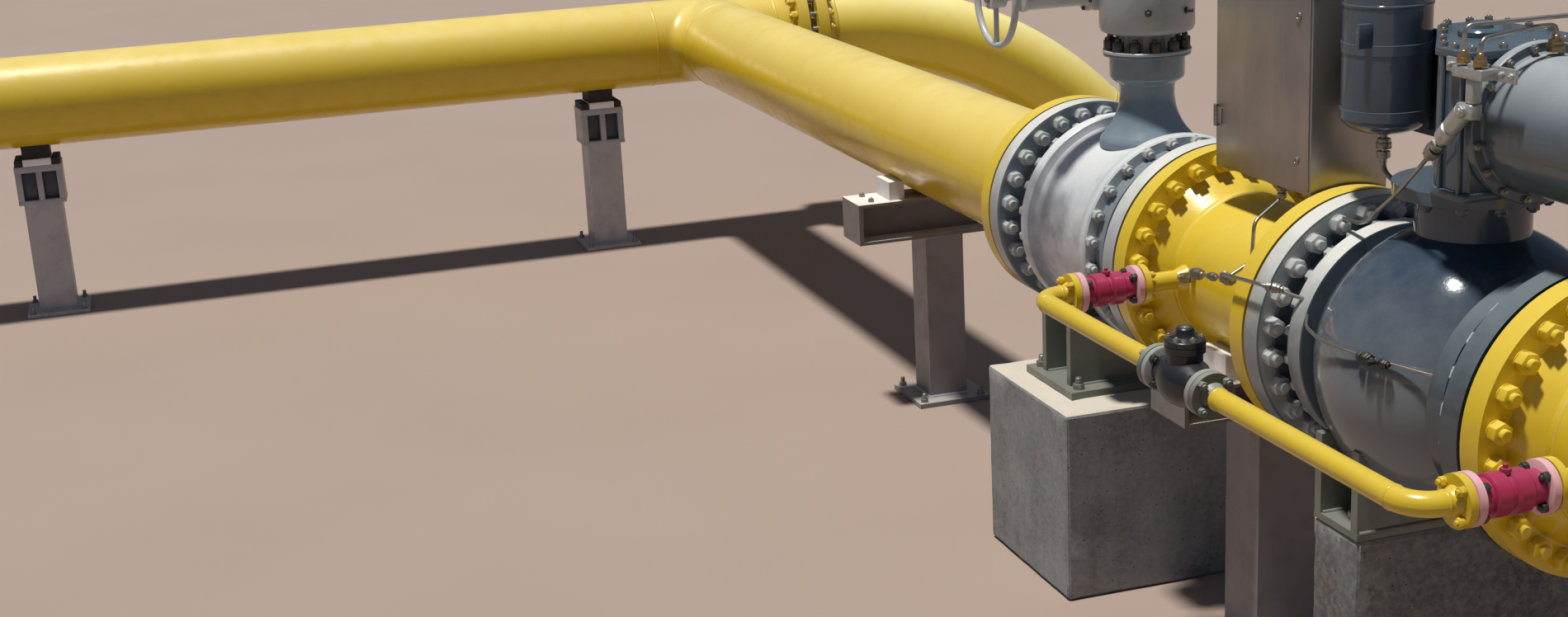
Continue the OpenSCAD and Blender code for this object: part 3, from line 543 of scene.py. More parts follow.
gear_enamel = enamel("mid_grey_enamel", "#A2A8AA", "#BFC2C0", "#585C60", 0.24, 0.25, 0.28)
pale_enamel = enamel("light_grey_enamel", "#B4B8B8", "#D0D1CD", "#747676", 0.28, 0.25, 0.26)
worm_y = 0.120
worm_z = 2.050
housing = turned([
    (0.140, 0), (0.150, 0.001), (0.152, 0.003), (0.152, 0.010), (0.150, 0.012), (0.100, 0.013), (0.096, 0.018),
    (0.096, 0.060), (0.102, 0.067), (0.142, 0.070), (0.157, 0.077), (0.163, 0.092), (0.163, 0.236), (0.160, 0.240),
    (0.160, 0.246), (0.165, 0.249), (0.165, 0.288), (0.162, 0.292),
    (0.150, 0.296), (0.064, 0.300), (0.060, 0.304), (0.058, 0.317), (0.053, 0.322),
], 72, Matrix.Translation((0, 0, joint_z)))
half_case = [(0.075, 0.114), (0.075, 0.144), (0.073, 0.147), (0.071, 0.158), (0.066, 0.164), (0.052, 0.165)]
worm_case = turned(
    [(r, -h) for r, h in reversed(half_case)] + [(0.068, -0.104), (0.068, 0.104)] + half_case, 48,
    towards((0, worm_y, worm_z), (1, 0, 0)))
webs = [block((x - 0.006, 0.10, worm_z - 0.15), (x + 0.006, 0.178, worm_z), 0.003) for x in (-0.07, 0.07)]
gear_housing = finish(joined([housing, worm_case] + webs), "gear_housing", gear_enamel)
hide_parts("gear_drive")
input_tube = turned([
    (0.066, 0), (0.072, 0.001), (0.0735, 0.003), (0.0735, 0.016), (0.071, 0.018), (0.058, 0.019), (0.054, 0.023),
    (0.054, 0.236), (0.057, 0.239), (0.058, 0.242), (0.058, 0.256), (0.055, 0.259), (0.022, 0.260),
], 48, towards((-0.160, worm_y, worm_z), (-1, 0, 0)))
finish(input_tube, "input_tube", pale_enamel)
shaft_place = towards((-0.420, worm_y, worm_z), (-1, 0, 0))
input_shaft = turned([(0.0150, 0), (0.0150, 0.126), (0.0135, 0.128)], 24, shaft_place)
finish(input_shaft, "input_shaft", zinc_plate)
housing_bolts = [
    copies(nut(0.019, 0.010, 0.011, 0.003), round_places((0, 0, joint_z + 0.2945), (0, 0, 1), 0.149, 8)),
    copies(nut(0.013, 0.008, 0.008, 0.002), (
        round_places((0.1645, worm_y, worm_z), (1, 0, 0), 0.059, 6)
        + round_places((-0.178, worm_y, worm_z), (-1, 0, 0), 0.064, 6))),
    copies(nut(0.024, 0.014, 0.014, 0.026), [
        towards((0.150 * math.sin(a), -0.150 * math.cos(a), joint_z + 0.15), (math.sin(a), -math.cos(a), 0))
        for a in (-0.45, 0.45)]),
]
finish(joined(housing_bolts), "gear_housing_bolts", dark_steel)
coat(pale_enamel, "hand_wheel")
wheel_nut = copies(nut(0.024, 0.009, 0.014, 0.002), [towards((-0.536, worm_y, worm_z), (-1, 0, 0))])
finish(wheel_nut, "hand_wheel_nut", zinc_plate, body="hand_wheel")


# Second valve: a ball-shaped body between two end castings, larger than the first and sprayed with it. Each end
# casting is bolted on by 24 studs, and the bonnet carries a wide flange for the power drive, bolted from below.
second_casting_enamel = enamel("second_casting_enamel", "#5A6670", "#7F888C", "#2C343C", 0.12, 0.30, 0.26)
# Inside the rims the castings are drawn dark slate, a painted shade; rims and ring face are pale, rims paler on top as
# painted sunlight.
lit_second_rims = ("#80888C", "#D8D8D2")
ring_face = ("#A1A8A8", "#A1A8A8")
for radius, greys in ((0.327, lit_second_rims), (0.337, ring_face), (0.380, lit_second_rims)):
    recoat(second_casting_enamel, axis_plane, (0.0, pipe_height), radius, False, greys, 0.20)
# The casting at the outlet is drawn darker, a painted shade of the drive, and lighter only on top, painted sunlight.
outlet_joint_y = train_joints[-1][0]
recoat(second_casting_enamel, ("Y", "Z"), (outlet_joint_y, pipe_height), 0.420, True, ("#414A51", "#6C767C"), 0.18)
coat(second_casting_enamel, "second_closures")
# The ball-shaped body is drawn darkest on top, a painted shadow of the drive, and greyer below, a painted reflection
# of the floor.
body_enamel = recoat(
    enamel("ball_enamel_painted_light_and_shade", *slate),
    axis_plane, (0.0, pipe_height), 0.100, False, ("#70777D", "#364454"), 0.12)
coat(body_enamel, "second_body")
coat(slate_enamel, "second_bonnet")
valve_y = -1.840
second_half = 0.358
second_circle = 0.3135
bonnet_plate_z = 1.686
bonnet_circle = 0.185
second_sides = end_rings(valve_y, second_half, second_circle)
fasten("second_closure_nuts", (0.034, 0.024, 0.020, 0.010), second_sides, valve_enamel)
bonnet_bolts = round_places((0, valve_y, bonnet_plate_z), (0, 0, -1), bonnet_circle, 12)
fasten("bonnet_bolts", (0.030, 0.018, 0.020, 0.006), bonnet_bolts, slate_enamel)


# Small-bore tubing: stainless tube of 10 to 16 mm, bright drawn and bent by hand, with stainless compression fittings.
# It takes the pipe's pressure from a tapping on the spool to the valve, and from the tank down to the bonnet.
def rod(points, radius, bend=0.0):
    """A round bar or tube through points, its corners bent to a smooth curve that starts bend before each corner."""
    route = [Vector(points[0])]
    for before, corner, after in zip(points, points[1:], points[2:]):
        before, corner, after = Vector(before), Vector(corner), Vector(after)
        start = corner + (before - corner).normalized() * bend
        end = corner + (after - corner).normalized() * bend
        route += [start * (1 - t) ** 2 + corner * 2 * t * (1 - t) + end * t * t for t in (0, 0.2, 0.4, 0.6, 0.8, 1)]
    route.append(Vector(points[-1]))
    line = bpy.data.curves.new("rod", "CURVE")
    line.dimensions = "3D"
    line.bevel_depth = radius
    line.bevel_resolution = 3
    line.use_fill_caps = True
    spline = line.splines.new("POLY")
    spline.points.add(len(route) - 1)
    for point, spot in zip(spline.points, route):
        point.co = (*spot, 1.0)
    shape = bpy.data.objects.new("rod", line)
    bpy.context.collection.objects.link(shape)
    select(shape)
    bpy.ops.object.convert(target="MESH")
    return bpy.context.object


drawn_stainless = plated("drawn_stainless_steel", "#C9C6BE", 0.26)
turned_stainless = plated("turned_stainless_steel", "#BDB9AE", 0.32)
fitting_brass = plated("turned_brass", "#C9A867", 0.30)
tank_y = -1.424
tube_radius = 0.006
tubing = joined([
    rod([(-0.252, -0.800, 1.240), (-0.300, -0.800, 1.252), (-0.300, -0.870, 1.282), (-0.300, -1.130, 1.318),
         (-0.392, -1.215, 1.370), (-0.392, -1.440, 1.390), (-0.292, -1.510, 1.350)], tube_radius, 0.025),
    rod([(-0.096, -1.050, 1.560), (-0.096, -1.050, 1.530), (-0.215, -1.095, 1.480), (-0.225, -1.100, 1.360),
         (-0.300, -1.090, 1.318)], tube_radius, 0.025),
    rod([(-0.306, -1.540, 1.316), (-0.372, -1.640, 1.316), (-0.410, -1.770, 1.318), (-0.404, -1.880, 1.318),
         (-0.376, -1.975, 1.314), (-0.308, -2.142, 1.306)], 0.005, 0.04),
    rod([(0, tank_y, 1.760), (0, tank_y, 1.668), (0, -1.560, 1.625), (0, -1.700, 1.625)], 0.008, 0.03),
])
finish(tubing, "small_bore_tubing", drawn_stainless, angle=50)


def fitting(spot, direction, size):
    """A compression fitting: a hexagon body with a nut at each end, on a tube that runs along direction."""
    up = Matrix.Translation((0, 0, size * 0.3))
    down = Matrix.Rotation(math.pi, 4, "X") @ up
    ends = copies(nut(size, size * 0.55, size * 0.62, size * 0.35), [up, down])
    shape = joined([ends, nut(size * 1.15, size * 0.5, size * 0.7, size * 0.2)])
    shape.data.transform(towards(spot, direction))
    return shape


fittings = [fitting(*one) for one in (
    ((-0.278, -0.800, 1.246), (-1, 0, 0.2), 0.026),
    ((-0.300, -0.905, 1.287), (0, -1, 0.12), 0.030),
    ((-0.300, -1.000, 1.300), (0, -1, 0.12), 0.022),
    ((-0.300, -1.092, 1.313), (0, -1, 0.12), 0.030),
    ((-0.365, -1.190, 1.354), (-0.7, -0.6, 0.35), 0.022),
    ((-0.370, -1.465, 1.385), (1, -1, -0.2), 0.024),
    ((-0.096, -1.050, 1.552), (0, 0, 1), 0.026),
    ((0, tank_y, 1.735), (0, 0, 1), 0.034),
    ((0, -1.585, 1.625), (0, 1, 0), 0.028),
    ((0, -1.672, 1.625), (0, 1, 0), 0.032),
)]
finish(joined(fittings), "compression_fittings", turned_stainless)
bleed_valve = joined([
    fitting((-0.392, -1.955, 1.316), (0.12, -1, -0.02), 0.026),
    fitting((-0.378, -2.010, 1.314), (0.28, -1, -0.02), 0.020),
    rod([(-0.350, -1.985, 1.312), (-0.420, -2.000, 1.318)], 0.007),
])
finish(bleed_valve, "bleed_valve", dark_steel)


# Power drive: a scotch yoke in a welded steel housing with a bolted cover, and a round cylinder bolted to its near
# face. Both are sprayed with the valve; the cylinder's two flange plates are held by rings of studs.
drive_low = 1.720
drive_high = 2.100


def slab(plan, low, high, bevel, segments=2):
    """A plate or body of one outline in plan, pulled up from low to high, its edges rounded."""
    bpy.ops.mesh.primitive_circle_add(vertices=len(plan), radius=1, fill_type="NGON")
    shape = bpy.context.object
    for vertex, (x, y) in zip(shape.data.vertices, plan):
        vertex.co = (x, y, low)
    editing(shape)
    bpy.ops.mesh.extrude_region_move(TRANSFORM_OT_translate={"value": (0, 0, high - low)})
    bpy.ops.mesh.select_all(action="SELECT")
    bpy.ops.mesh.normals_make_consistent(inside=False)
    bpy.ops.object.mode_set(mode="OBJECT")
    return rounded(shape, bevel, segments)


def yoke_plan(inset):
    """The housing's outline: a square whose far left corner is cut off."""
    corners = [(-0.200, -0.230), (0.200, -0.230), (0.200, 0.230), (0.030, 0.230), (-0.200, -0.092)]
    middle = Vector((0.03, -0.02))
    plan = [middle.lerp(Vector(corner), 1 - inset) for corner in corners]
    return [(corner.x, valve_y + corner.y) for corner in plan]


yoke_shapes = [
    slab(yoke_plan(0.05), drive_low + 0.010, drive_high - 0.010, 0.016, 3),
    slab(yoke_plan(0.0), drive_low, drive_low + 0.022, 0.005),
    slab(yoke_plan(0.0), drive_high - 0.022, drive_high, 0.005),
]
for x, along in ((-0.194, -0.200), (-0.194, -0.120), (0.194, -0.13), (0.194, 0.0), (0.194, 0.13)):
    y = valve_y + along
    yoke_shapes.append(block(
        (x - 0.005, y - 0.006, drive_low + 0.020), (x + 0.005, y + 0.006, drive_high - 0.020), 0.003))
indicator = turned([
    (0.055, 0), (0.058, 0.003), (0.058, 0.014), (0.054, 0.018), (0.032, 0.021), (0.029, 0.034), (0.024, 0.038),
], 40, Matrix.Translation((0, valve_y, drive_high - 0.001)))
yoke = finish(joined(yoke_shapes + [indicator]), "yoke_drive_housing", slate_enamel)
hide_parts("yoke_housing")
cover_spots = [(x, -0.214) for x in (-0.18, -0.09, 0.0, 0.09, 0.18)] + [(x, 0.214) for x in (0.05, 0.12, 0.18)]
cover_spots += [(0.184, y) for y in (-0.13, -0.04, 0.05, 0.14)]
cover_spots += [(-0.184, -0.15), (-0.180, -0.098), (-0.122, -0.010), (-0.052, 0.085), (0.010, 0.170)]
cover_places = [Matrix.Translation((x, valve_y + y, drive_high)) for x, y in cover_spots]
fasten("yoke_cover_bolts", (0.019, 0.011, 0.011, 0.004), cover_places, zinc_plate)

cylinder_start = valve_y - 0.230
cylinder_length = 0.700
cylinder_z = 1.910
half_barrel = [(0.205, 0.004), (0.205, 0.026), (0.202, 0.030), (0.180, 0.0305), (0.175, 0.036)]
cylinder = turned(
    [(0.120, 0), (0.201, 0.0005)] + half_barrel + [(r, cylinder_length - h) for r, h in reversed(half_barrel)]
    + [(0.201, 0.6995), (0.074, 0.700), (0.071, 0.703), (0.068, 0.722), (0.060, 0.726)], 96,
    towards((0, cylinder_start, cylinder_z), (0, -1, 0)))
# The cylinder is dark slate with a far paler top, which is painted sunlight.
cylinder_enamel = enamel("cylinder_enamel_painted_lit_top", "#56626C", "#BCC2C5", "#2C343A", 0.12, 0.80, 0.26)
finish(cylinder, "drive_cylinder_barrel", cylinder_enamel)
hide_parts("drive_cylinder")
cylinder_studs = []
for along, facing, circle in ((0.030, -1, 0.1925), (0.670, 1, 0.1925), (cylinder_length, -1, 0.1880)):
    cylinder_studs += round_places((0, cylinder_start - along, cylinder_z), (0, facing, 0), circle, 16)
fasten("cylinder_nuts", (0.019, 0.012, 0.012, 0.005), cylinder_studs, zinc_plate)
galvanised, tree, place = new_material("hot_dip_galvanised_steel")
# Zinc crystals about 12 mm across, as slow cooling leaves them, under a thin white film of rain.
crystals = add_node(tree, "TexVoronoi", {"Vector": place, "Scale": 80.0}).outputs["Color"]
crystal = add_node(tree, "SeparateColor", crystals).outputs["Red"]
cloud = add_node(tree, "TexNoise", {"Vector": place, "Scale": 14.0, "Detail": 5.0})
zinc = add_node(tree, "MixRGB", crystal, "#B0B3B4", "#989C9E")
filmed = add_node(tree, "MixRGB", cloud, zinc, "#C6C7C4")
dull = add_node(tree, "MapRange", crystal, 0.0, 1.0, 0.34, 0.50)
close_material(tree, {"Base Color": filmed, "Roughness": dull, "Metallic": 0.6})
near_port_y = cylinder_start - 0.065
far_port_y = cylinder_start - 0.635
port_top = cylinder_z + 0.205
ports = [fitting((x, y, z), (0, 0, 1), size) for x, y, z, size in (
    (0, near_port_y, cylinder_z + 0.185, 0.034), (0, far_port_y, cylinder_z + 0.185, 0.034),
    (-0.240, -2.170, 2.085, 0.026), (-0.240, -2.105, 2.085, 0.026))]
finish(joined(ports), "cylinder_port_fittings", fitting_brass)
slanted = (0, 0.71, -0.71)
pilot_place = towards((-0.238, -2.112, 1.968), slanted)
manifold = joined([
    turned([
        (0.021, 0), (0.024, 0.003), (0.024, 0.062), (0.020, 0.065), (0.020, 0.072), (0.024, 0.075), (0.024, 0.112),
        (0.021, 0.115)], 32, pilot_place),
    turned([(0.013, 0.110), (0.013, 0.150), (0.011, 0.152)], 24, pilot_place),
    block((-0.208, -2.262, 2.048), (-0.200, -1.990, 2.084), 0.002),
    block((-0.256, -2.196, 2.050), (-0.206, -2.078, 2.078), 0.005),
    block((-0.252, -2.160, 1.990), (-0.222, -2.130, 2.052), 0.005),
    block((-0.256, -2.160, 1.950), (-0.218, -2.098, 1.990), 0.008, 3),
    copies(nut(0.015, 0.008, 0.009, 0.003), [
        towards((-0.208, y, 2.066), (-1, 0, 0)) for y in (-2.248, -2.212, -2.050, -2.010)]),
    copies(nut(0.030, 0.010, 0.020, 0.004), [
        towards((-0.256, -2.128, 1.970), (-1, 0, 0)), towards((-0.237, -2.145, 2.078), (0, 0, 1))]),
])
finish(manifold, "control_manifold", galvanised)
finish(fitting((-0.238, -1.998, 1.854), slanted, 0.034), "control_fitting", zinc_plate)
drive_tubes = joined([
    rod([(-0.240, -2.170, 2.100), (-0.240, -2.170, 2.150), (-0.060, near_port_y, 2.160), (0, near_port_y, 2.160),
         (0, near_port_y, port_top)], tube_radius, 0.022),
    rod([(-0.240, -2.105, 2.100), (-0.240, -2.105, 2.175), (0.040, cylinder_start - 0.100, 2.185),
         (0.040, far_port_y, 2.160), (0, far_port_y, 2.160), (0, far_port_y, port_top)], tube_radius, 0.022),
    rod([(-0.238, -1.998, 1.854), (-0.238, -1.960, 1.816), (-0.205, -1.800, 1.700), (-0.150, -1.560, 1.560),
         (-0.100, -1.230, 1.530), (-0.060, -1.200, 1.560)], tube_radius, 0.05),
])
finish(drive_tubes, "drive_tubing", drawn_stainless, angle=50)


# Upright tank: a rolled steel shell with dished ends, closed by a girth weld at mid height and one near each end.
# It stands beside the mounting plate in three steel straps and is sprayed blue-grey with the drive.
tank_low = 1.778
tank_length = 0.740
tank_radius = 0.122
dome_flat = 0.004
dome_height = 0.050
dome = []
for step in range(11):
    turn = math.pi / 2 * step / 10
    dome.append((dome_flat + (tank_radius - dome_flat) * math.sin(turn), dome_height * (1 - math.cos(turn))))
tank_profile = dome + [(r, tank_length - h) for r, h in reversed(dome)]
tank_parts = [turned(tank_profile, 72, Matrix.Translation((0, tank_y, tank_low)))]
for height in (0.062, 0.365, 0.678):
    tank_parts.append(bead((0, tank_y, tank_low + height), (0, 0, 1), tank_radius, 0.010, 0.0025))
tank_parts.append(block((-0.140, -1.502, 2.034), (-0.098, -1.486, 2.102), 0.003))
tank = finish(joined(tank_parts), "tank_bottle", slate_enamel, angle=45)
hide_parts("upright_tank")
straps = []
for low in (1.825, 2.010, 2.385):
    straps.append(turned(
        [(0.1225, 0), (0.1245, 0.001), (0.1245, 0.029), (0.1225, 0.030)], 72, Matrix.Translation((0, tank_y, low))))
    straps.append(block((0.100, tank_y - 0.020, low), (0.134, tank_y + 0.020, low + 0.030), 0.003))
finish(joined(straps), "tank_straps", slate_enamel)


# Mounting plate: a flat steel plate behind tank and cabinet, with two brackets to the tank, sprayed with the drive.
# Six plated bolts hold the cabinet on it, and four more the tank.
coat(slate_enamel, "mounting_frame")
plate_spots = [(y, z) for y in (-1.190, -0.973, -0.756) for z in (1.800, 2.020)]
plate_spots += [(y, z) for y in (-1.384, -1.464) for z in (1.795, 2.025)]
plate_bolts = [towards((0.145, y, z), (1, 0, 0)) for y, z in plate_spots]
fasten("mounting_plate_bolts", (0.019, 0.011, 0.011, 0.005), plate_bolts, zinc_plate)


# Control cabinet: folded sheets of stainless steel, brushed upright, with one door on the left. The door has a folded
# edge, two lift-off hinges and two quarter-turn locks; a rain hood covers it, and four cable glands sit below.
stainless_sheet, tree, place = new_material("brushed_stainless_sheet")
stretched = add_node(tree, "Mapping", {"Vector": place, "Scale": (400.0, 400.0, 6.0)})
grain = add_node(tree, "TexNoise", {"Vector": stretched, "Scale": 1.0, "Detail": 2.0})
cloud = add_node(tree, "TexNoise", {"Vector": place, "Scale": 5.0, "Detail": 5.0, "Roughness": 0.6})
run_place = add_node(tree, "Mapping", {"Vector": place, "Scale": (26.0, 26.0, 1.6)})
runs = add_node(tree, "TexNoise", {"Vector": run_place, "Scale": 1.0, "Detail": 4.0})
film = add_node(tree, "MapRange", cloud, 0.35, 0.7, 0.0, 0.45)
streaks = add_node(tree, "MapRange", runs, 0.5, 0.75, 0.0, 0.35)
sheet = add_node(tree, "MixRGB", film, "#A09C99", "#7E7873")
dusty = add_node(tree, "MixRGB", streaks, sheet, "#B5AA9E")
dull = add_node(tree, "MapRange", cloud, 0.3, 0.7, 0.26, 0.42)
wave = add_node(tree, "Bump", {"Strength": 0.12, "Distance": 0.0003, "Height": grain})
close_material(tree, {"Base Color": dusty, "Roughness": dull, "Normal": wave, "Metallic": 0.75})
cabinet_parts = [
    block((-0.1230, -1.246, 1.572), (0.1330, -0.700, 2.272), 0.004),
    block((-0.1270, -1.238, 1.584), (-0.1225, -0.708, 2.254), 0.0018),
    block((-0.1470, -1.266, 2.270), (0.1330, -0.680, 2.278), 0.002, 1),
    block((-0.1470, -1.266, 2.252), (-0.1450, -0.680, 2.275), 0.0008, 1),
    block((-0.1470, -1.266, 2.252), (0.1330, -1.264, 2.275), 0.0008, 1),
    block((-0.1470, -0.682, 2.252), (0.1330, -0.680, 2.275), 0.0008, 1),
]
cabinet = finish(joined(cabinet_parts), "cabinet_case", stainless_sheet)
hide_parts("control_cabinet")
cabinet_fittings = []
for height in (1.700, 2.140):
    cabinet_fittings.append(turned([
        (0.006, 0), (0.0075, 0.001), (0.0075, 0.032), (0.0065, 0.0335), (0.0075, 0.035), (0.0075, 0.069),
        (0.006, 0.070)], 20, Matrix.Translation((-0.1310, -0.712, height))))
    cabinet_fittings.append(block((-0.1300, -0.742, height + 0.010), (-0.1265, -0.710, height + 0.060), 0.001, 1))
for height in (1.668, 2.089):
    cabinet_fittings.append(turned(
        [(0.0135, 0), (0.0135, 0.0035), (0.0120, 0.0050), (0.0060, 0.0052), (0.0050, 0.0030)], 28,
        towards((-0.1270, -1.177, height), (-1, 0, 0))))
gland_spots = ((-0.096, -1.050), (-0.030, -1.100), (0.040, -1.100), (-0.060, -1.200))
cabinet_fittings.append(copies(
    nut(0.026, 0.012, 0.020, 0.006), [towards((x, y, 1.573), (0, 0, -1)) for x, y in gland_spots]))
finish(joined(cabinet_fittings), "cabinet_hinges_and_locks", zinc_plate)


# Bypass line: 60 mm pipe with long elbows and small weld-neck flanges, sprayed yellow with the main pipe.
# Four studs of 14 mm close each joint, and its girth beads are low and narrow.
bypass_z = 1.226
bypass_x = -0.755
bypass_radius = 0.03015
stub_ys = (-0.733, -2.706)
throttle_y = -1.670
# Round the throttle the flanges have lost their yellow: they are soiled a dull grey-green with its own oil.
small_yellow = ("#CDB028", "#DEC766", "#8A660E", 0.20, 0.36, 0.13)
bypass_enamel = enamel("yellow_enamel_on_bypass", *small_yellow)
coat(bypass_enamel, "bypass_stubs", "bypass_elbows", "bypass_pipes")
oil_soil = ("#565B54", "#8B8F84")
small_flange_enamel = recoat(
    enamel("soiled_flange_enamel", *small_yellow), ("Y", "Z"), (throttle_y, bypass_z), 0.195, True, oil_soil, 0.45)
coat(small_flange_enamel, "bypass_flanges")
small_joints = []
for stub_y in stub_ys:
    small_joints.append(((-0.415, stub_y, bypass_z), Vector((1, 0, 0))))
    small_joints.append(((-0.631, stub_y, bypass_z), Vector((-1, 0, 0))))
for side in (1, -1):
    small_joints.append(((bypass_x, throttle_y + side * 0.1335, bypass_z), Vector((0, side, 0))))
small_back = 0.0236
small_circle = 0.0508
small_nut = (0.022, 0.013, 0.014, 0.007)
yellow_places = []
valve_places = []
for middle, outward in small_joints:
    yellow_places += round_places(Vector(middle) + outward * small_back, outward, small_circle, 4)
    valve_places += round_places(Vector(middle) - outward * small_back, -outward, small_circle, 4)
fasten("bypass_flange_nuts", small_nut, yellow_places, small_flange_enamel)
fasten("bypass_valve_nuts", small_nut, valve_places, dark_steel)
weld_places = [((x, stub_y, bypass_z), (1, 0, 0)) for stub_y in stub_ys for x in (-0.367, -0.679)]
weld_places += [((bypass_x, y, bypass_z), (0, 1, 0)) for y in (-0.809, -1.4885, -1.8515, -2.630)]
small_welds = [bead(middle, along, bypass_radius, 0.008, 0.002) for middle, along in weld_places]
finish(joined(small_welds), "bypass_welds", bypass_enamel, angle=60)


# Stub valves: small flanged ball valves, each a forged body of two drums drawn together on a narrow waist.
# The bodies are sprayed crimson; the flange plates carry a paler pink coat of it.
crimson_enamel = enamel("crimson_enamel", "#A0244E", "#C06A80", "#5A122C", 0.28, 0.20, 0.26)
pale_pink_enamel = enamel("pale_crimson_enamel", "#D7A3AC", "#E4C4C6", "#9A5566", 0.40, 0.25, 0.26)
half_body = [
    (0.044, 0.104), (0.048, 0.101), (0.052, 0.097), (0.052, 0.062), (0.049, 0.058), (0.043, 0.056), (0.043, 0.001),
    (0.040, 0)]
body_profile = [(r, h) for r, h in reversed(half_body)] + [(r, 0.216 - h) for r, h in half_body]
bodies = [turned(body_profile, 48, towards((-0.631, stub_y, bypass_z), (1, 0, 0))) for stub_y in stub_ys]
bodies.append(copies(
    nut(0.024, 0.012, 0.012, 0.010), [Matrix.Translation((-0.523, stub_y, bypass_z + 0.047)) for stub_y in stub_ys]))
bodies = finish(joined(bodies), "stub_valve_bodies", crimson_enamel)
plate_profile = [(0.061, 0), (0.0635, 0.0015), (0.0635, 0.0205), (0.061, 0.022)]
plates = copies(turned(plate_profile, 56), [
    towards((x, stub_y, bypass_z), (1, 0, 0)) for stub_y in stub_ys for x in (-0.6294, -0.4386)])
finish(plates, "stub_valve_plates", pale_pink_enamel)
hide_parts("stub_valves")


# Throttle valve: a cast globe valve sprayed black, whose flanges keep the pale primer. A bonnet is bolted on top and
# carries a square spindle end with a plated nut, and no wheel.
black_enamel = enamel("black_enamel", "#1A1B1F", "#55565A", "#0B0B0D", 0.26, 0.22, 0.2)
primer = enamel("dull_zinc_primer", "#8E908C", "#B4B3AB", "#5F5C55", 0.45, 0.25, 0.3)
globe = turned([
    (0.040, -0.1335), (0.042, -0.1325), (0.042, -0.108), (0.043, -0.098), (0.051, -0.078), (0.061, -0.052),
    (0.069, -0.025), (0.071, 0), (0.069, 0.025), (0.061, 0.052), (0.051, 0.078), (0.043, 0.098), (0.042, 0.108),
    (0.042, 0.1325), (0.040, 0.1335),
], 56, towards((bypass_x, throttle_y, bypass_z), (0, 1, 0)))
bonnet = turned([
    (0.048, 0.050), (0.048, 0.078), (0.055, 0.082), (0.055, 0.098), (0.0535, 0.100), (0.055, 0.102), (0.055, 0.116),
    (0.053, 0.118), (0.034, 0.121), (0.026, 0.130), (0.024, 0.146), (0.021, 0.149),
], 48, Matrix.Translation((bypass_x, throttle_y, bypass_z)))
throttle = finish(joined([globe, bonnet]), "throttle_body", black_enamel)
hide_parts("throttle_valve")
plates = copies(turned(plate_profile, 56), [
    towards((bypass_x, throttle_y + start, bypass_z), (0, 1, 0)) for start in (-0.1319, 0.1099)])
finish(plates, "throttle_flange_plates", primer)
cap_nut = copies(nut(0.026, 0.010, 0.012, 0.001), [Matrix.Translation((bypass_x, throttle_y, bypass_z + 0.140))])
bonnet_nuts = copies(
    nut(0.017, 0.009, 0.010, 0.004), round_places((bypass_x, throttle_y, bypass_z + 0.118), (0, 0, 1), 0.043, 6))
finish(joined([cap_nut, bonnet_nuts]), "throttle_bonnet_nuts", zinc_plate)


# Header posts and cross supports: square steel tube on base plates, joined by fillet welds, anchored, and sprayed
# grey. The cross supports carry I-beams, drawn darker as painted shade and pale on top as painted sunlight, with paler
# stops beside the pipe.
post_enamel = enamel("pale_grey_enamel", "#B6B4B8", "#D2CFCC", "#7B7672", 0.40, 0.30, 0.34)
shaded_post_enamel = enamel("cross_post_enamel_painted_shade", "#8C8889", "#D2CFCC", "#625E5B", 0.40, 0.30, 0.34)
beam_enamel = enamel("beam_enamel_painted_light_and_shade", "#77716F", "#EDE7E0", "#4E4A48", 0.40, 0.92, 0.34)
stop_enamel = enamel("chalked_and_lit_grey_enamel", "#CFCCCB", "#F2EEEA", "#8C8782", 0.42, 0.80, 0.26)
coat(post_enamel, "header_posts")
coat(beam_enamel, "cross_beams")
coat(stop_enamel, "cross_stops")
# The cross posts are drawn a darker grey than the header posts, a painted shade.
coat(shaded_post_enamel, "cross_posts")
header_post_xs = (-0.724, -3.974, -7.224)
# Each cross support's middle, half its post's width, and the height of its post.
cross_supports = ((0.0, 2.036, 0.089, 0.7727), (-0.040, -0.916, 0.1015, 0.8377))
base_top = 0.020
anchor_offsets = (-0.138, 0.138)
beam_flange_top = 0.9557
beam_bolt_offsets = (-0.330, 0.330)


def square_weld(x, y, z, half, size):
    """A fillet weld all round a square post."""
    low_x, high_x, low_y, high_y = x - half, x + half, y - half, y + half
    return rod([(x, low_y, z), (low_x, low_y, z), (low_x, high_y, z), (high_x, high_y, z), (high_x, low_y, z),
                (x, low_y, z)], size, 0.004)


post_welds = [square_weld(x, header_y, base_top, 0.1015, 0.008) for x in header_post_xs]
for x, y, half, top in cross_supports:
    post_welds.append(square_weld(x, y, base_top, half, 0.008))
    post_welds.append(square_weld(x, y, top, half, 0.007))
finish(joined(post_welds), "post_welds", post_enamel, angle=60)
base_middles = [(x, header_y) for x in header_post_xs] + [(x, y) for x, y, half, top in cross_supports]
anchor_places = [
    Matrix.Translation((x + across, y + along, base_top))
    for x, y in base_middles for across in anchor_offsets for along in anchor_offsets]
fasten("post_anchor_nuts", (0.030, 0.016, 0.020, 0.024), anchor_places, zinc_plate)
beam_bolts = [
    Matrix.Translation((across, y + along, beam_flange_top))
    for x, y, half, top in cross_supports for across in beam_bolt_offsets for along in (-0.06, 0.06)]
fasten("beam_bolts", (0.024, 0.013, 0.016, 0.006), beam_bolts, zinc_plate)
